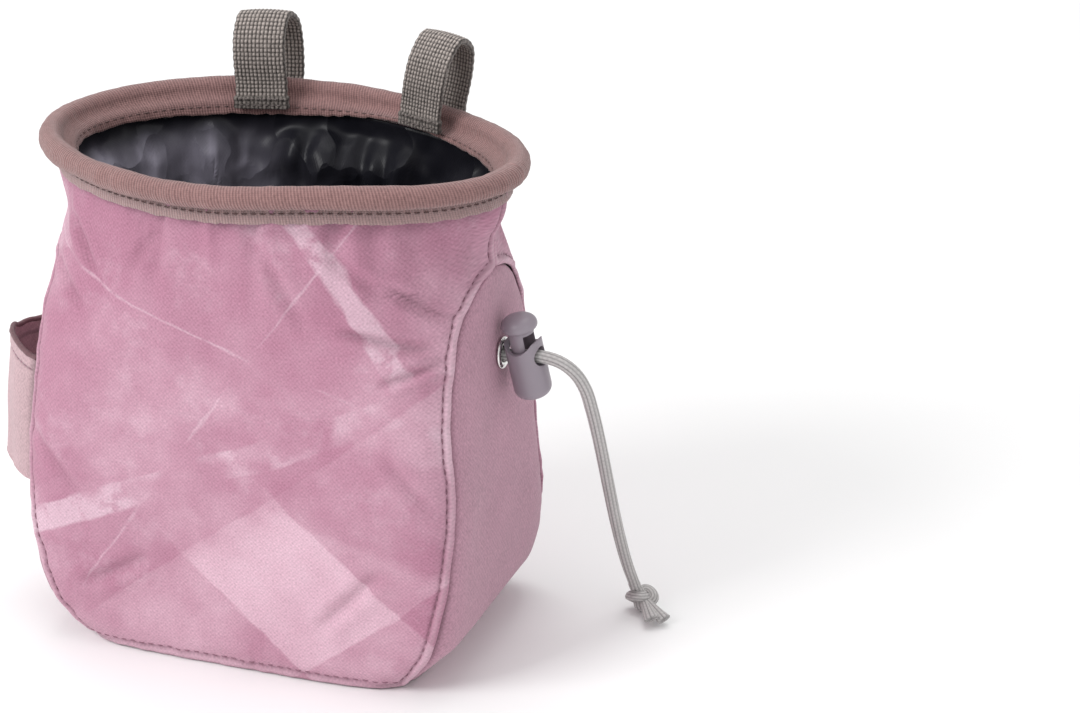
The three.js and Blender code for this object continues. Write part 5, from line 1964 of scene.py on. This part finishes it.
@dataclass
class Drawcord:
    """The braided cord from the eyelet to its knot on the floor, at its real length."""

    width: float = 0.0041
    thickness: float = 0.0031
    steps: int = 420
    sides: int = 64
    ribs: int = 10
    knot_place = (0.1005, 0.033, 0.0039)
    tail_end = (0.109, 0.0225, 0.0028)
    route = (
        (0.0664, 0, 0.0933), (0.0695, 0.0003, 0.0933), (0.0749, 0, 0.094), (0.0804, -0.0009, 0.0948),
        (0.0856, -0.0006, 0.0937), (0.0892, 0.0016, 0.09), (0.0913, 0.005, 0.0838),
        (0.0925, 0.0078, 0.076), (0.0934, 0.0108, 0.067), (0.094, 0.0142, 0.0574),
        (0.0944, 0.0182, 0.047), (0.0949, 0.022, 0.0368), (0.0956, 0.0256, 0.027),
        (0.0969, 0.029, 0.0168), (0.0987, 0.032, 0.0078),
    )

    def braided(self, line: Array, width: float, thickness: float) -> tuple[Array, Array]:
        """The braid's section along a line, and its relief from 0 to 1."""
        angle = np.linspace(0, 2 * np.pi, self.sides, endpoint=False)
        length = np.concatenate([[0], np.cumsum(np.linalg.norm(np.diff(line, axis=0), axis=1))])
        rib = np.abs(np.cos(self.ribs * angle / 2))[None] ** 0.6
        odd = np.floor(self.ribs * angle / (2 * np.pi) + 0.5) % 2
        pick = np.sin(2 * np.pi * length[:, None] / 0.0015 + np.pi * odd[None])
        relief = np.clip(0.82 * rib + 0.08 * pick * rib + 0.1, 0, 1)
        scale = 1 - 0.06 + 0.12 * (relief - 0.5)
        section = np.stack([np.cos(angle) * width / 2, np.sin(angle) * thickness / 2], -1)
        return section[None] * scale[..., None], relief

    def tube(self, name: str, line: Array, first: tuple[float, float, float], width: float,
             thickness: float, turned: tuple[float, float], fan: float = 0.0) -> Piece:
        """Makes one braided tube along a line.

        Args:
            name: the piece's name.
            line: the points to follow.
            first: a direction that the tube's broad side leans to at the start.
            width: of the braid.
            thickness: of the braid.
            turned: how far it is twisted at its start and its end, in degrees.
            fan: how far its end spreads, as a share of its width.

        Returns:
            The new object.
        """
        section, relief = self.braided(line, width, thickness)
        spread = np.linspace(0, 1, len(line)) ** 2.2
        section = section * np.stack([1 + fan * spread, 1 - 0.35 * fan * spread], -1)[:, None]
        twist = np.radians(np.linspace(turned[0], turned[1], len(line)))
        piece = swept_tube(name, line, np.array(first), section, twist)
        store_mask(piece, "ridge", np.concatenate([relief.ravel(), [0.1, 0.1]]))
        return piece

    def knot(self) -> Piece:
        """The knot: an overhand turn of the cord drawn tight, with two fanned cut tails."""
        centre = np.array(self.knot_place)
        end = np.array(self.tail_end)
        ahead = unit(end - centre)
        across = unit(np.cross(ahead, [0, 0, 1]))
        over = np.cross(across, ahead)
        t = np.linspace(0, 2 * np.pi, 260)
        ring = np.stack([np.sin(t) + 2 * np.sin(2 * t), np.cos(t) - 2 * np.cos(2 * t), -np.sin(3 * t)], -1)
        turned = ring[:, :1] * across * 0.00122 + ring[:, 1:2] * over * 0.00082 + ring[:, 2:] * ahead * 0.0019
        ring = centre + turned + ahead * 0.0004
        parts = [self.tube("knot_turns", ring, (0, 0, 1), 0.0037, 0.0028, (0, 0))]
        last, before = np.array(self.route[-1]), np.array(self.route[-2])
        lead = [tuple(last + 0.0012 * unit(before - last)), tuple(last),
                tuple(0.4 * last + 0.6 * centre), tuple(centre)]
        parts.append(self.tube("knot_lead", smooth_curve(lead, 40), (0, 0, 1), 0.0038, 0.0030, (50, 50)))
        for index, (aside, lift, fan) in enumerate(((-0.0021, -0.0003, 0.5), (0.0020, 0.0006, 0.6))):
            tip = end + across * aside + [0, 0, lift]
            middle = centre * 0.5 + end * 0.5 + across * aside * 0.45
            line = smooth_curve([tuple(centre), tuple(middle), tuple(tip)], 60)
            parts.append(self.tube(f"knot_tail_{index}", line, tuple(across), 0.0030, 0.0024, (0, 20), fan))
        lowest = np.array([min(v.co.z for v in part.data.vertices) for part in parts])
        for part, low in zip(parts, lowest):
            part.data.transform(Matrix.Translation((0, 0, max(0.0001 - low, 0))))
        with bpy.context.temp_override(active_object=parts[0], selected_editable_objects=parts):
            bpy.ops.object.join()
        parts[0].name = "cord_knot_tied"
        return parts[0]

    def build(self, finishes: Finishes, lock: list[Piece]) -> None:
        """Args:
            finishes: the materials.
            lock: the pieces of the cord lock, which sit on the cord; not used.
        """
        line = smooth_curve(list(self.route), self.steps)
        cord = self.tube("drawcord_braid", line, (0, 0, 1), self.width, self.thickness, (0, 50))
        place(cord, finishes.braid, ("drawcord",))
        knot = place(self.knot(), finishes.braid, ("cord_knot",))


@dataclass
class Studio:
    """The camera at the photograph's angle, soft lights and a plain pale floor."""

    eye: tuple[float, float, float] = (0.3562, -0.7788, 0.4504)
    target: tuple[float, float, float] = (0.07919, 0.0, 0.09436)
    sensor: float = 36.0
    lens: float = 104.24
    floor_size: float = 12.0

    def camera(self) -> None:
        """Makes the camera."""
        data = bpy.data.cameras.new("camera")
        data.sensor_width = self.sensor
        data.lens = self.lens
        data.clip_start, data.clip_end = 0.01, 50
        made = bpy.data.objects.new("camera", data)
        made.location = self.eye
        made.rotation_mode = "QUATERNION"
        made.rotation_quaternion = (Vector(self.target) - Vector(self.eye)).to_track_quat("-Z", "Y")
        bpy.context.scene.collection.objects.link(made)
        bpy.context.scene.camera = made

    def light(self, name: str, place_at: tuple[float, float, float], size: float, power: float,
              colour: Colour = (1, 1, 1)) -> None:
        """Makes one square soft light that faces the bag."""
        data = bpy.data.lights.new(name, "AREA")
        data.shape = "SQUARE"
        data.size = size
        data.energy = power
        data.color = colour
        made = bpy.data.objects.new(name, data)
        made.location = place_at
        made.rotation_mode = "QUATERNION"
        made.rotation_quaternion = (Vector((0, 0, 0.08)) - Vector(place_at)).to_track_quat("-Z", "Y")
        bpy.context.scene.collection.objects.link(made)

    def floor(self) -> None:
        """Makes the floor."""
        half = self.floor_size / 2
        corners = np.array([(-half, -half, 0), (half, -half, 0), (half, half, 0), (-half, half, 0)], float)
        made = mesh_object("studio_floor", corners - [0, 0, 0.0002], np.array([[0, 1, 2, 3]]))
        material = bpy.data.materials.new("floor_paper")
        material.use_nodes = True
        shader = material.node_tree.nodes["Principled BSDF"]
        shader.inputs["Base Color"].default_value = (0.93, 0.93, 0.93, 1)
        shader.inputs["Roughness"].default_value = 0.9
        shader.inputs["Specular IOR Level"].default_value = 0.1
        made.data.materials.append(material)

    def world(self, strength: float = 0.66) -> None:
        """Makes the even white surroundings and plain, neutral colours."""
        made = bpy.data.worlds.new("studio")
        made.use_nodes = True
        background = made.node_tree.nodes["Background"]
        background.inputs[0].default_value = (1, 1, 1, 1)
        background.inputs[1].default_value = strength
        scene = bpy.context.scene
        scene.world = made
        scene.view_settings.view_transform = "Standard"
        scene.view_settings.look = "None"

    def build(self) -> None:
        """Makes the lights and the floor."""
        self.light("key", (-0.9, -1.15, 1.15), 0.8, 19)
        self.light("fill", (1.3, -0.6, 0.7), 1.4, 2)
        self.light("top", (-0.15, 0.35, 1.8), 1.2, 11)
        self.floor()
        self.world()


def main() -> None:
    """Builds the bag piece by piece, then the studio, and notes the sizes."""
    logging.basicConfig(level=logging.INFO, format="%(name)s %(message)s")
    form = BagForm()
    studio = Studio()
    studio.camera()
    finishes = Finishes(SharedEffects())
    lock = CordLock(form).build(finishes)
    Drawcord().build(finishes, lock)
    Panels(form).build(finishes)
    Gusset(form).build(finishes)
    Lining(form).build(finishes)
    RimBinding(form).build(finishes)
    for spot in LoopPlace:
        BeltLoop(form, spot).build(finishes)
    BrushSleeve(form).build(finishes)
    Eyelet(form).build(finishes)
    studio.build()


if __name__ == "__main__":
    main()
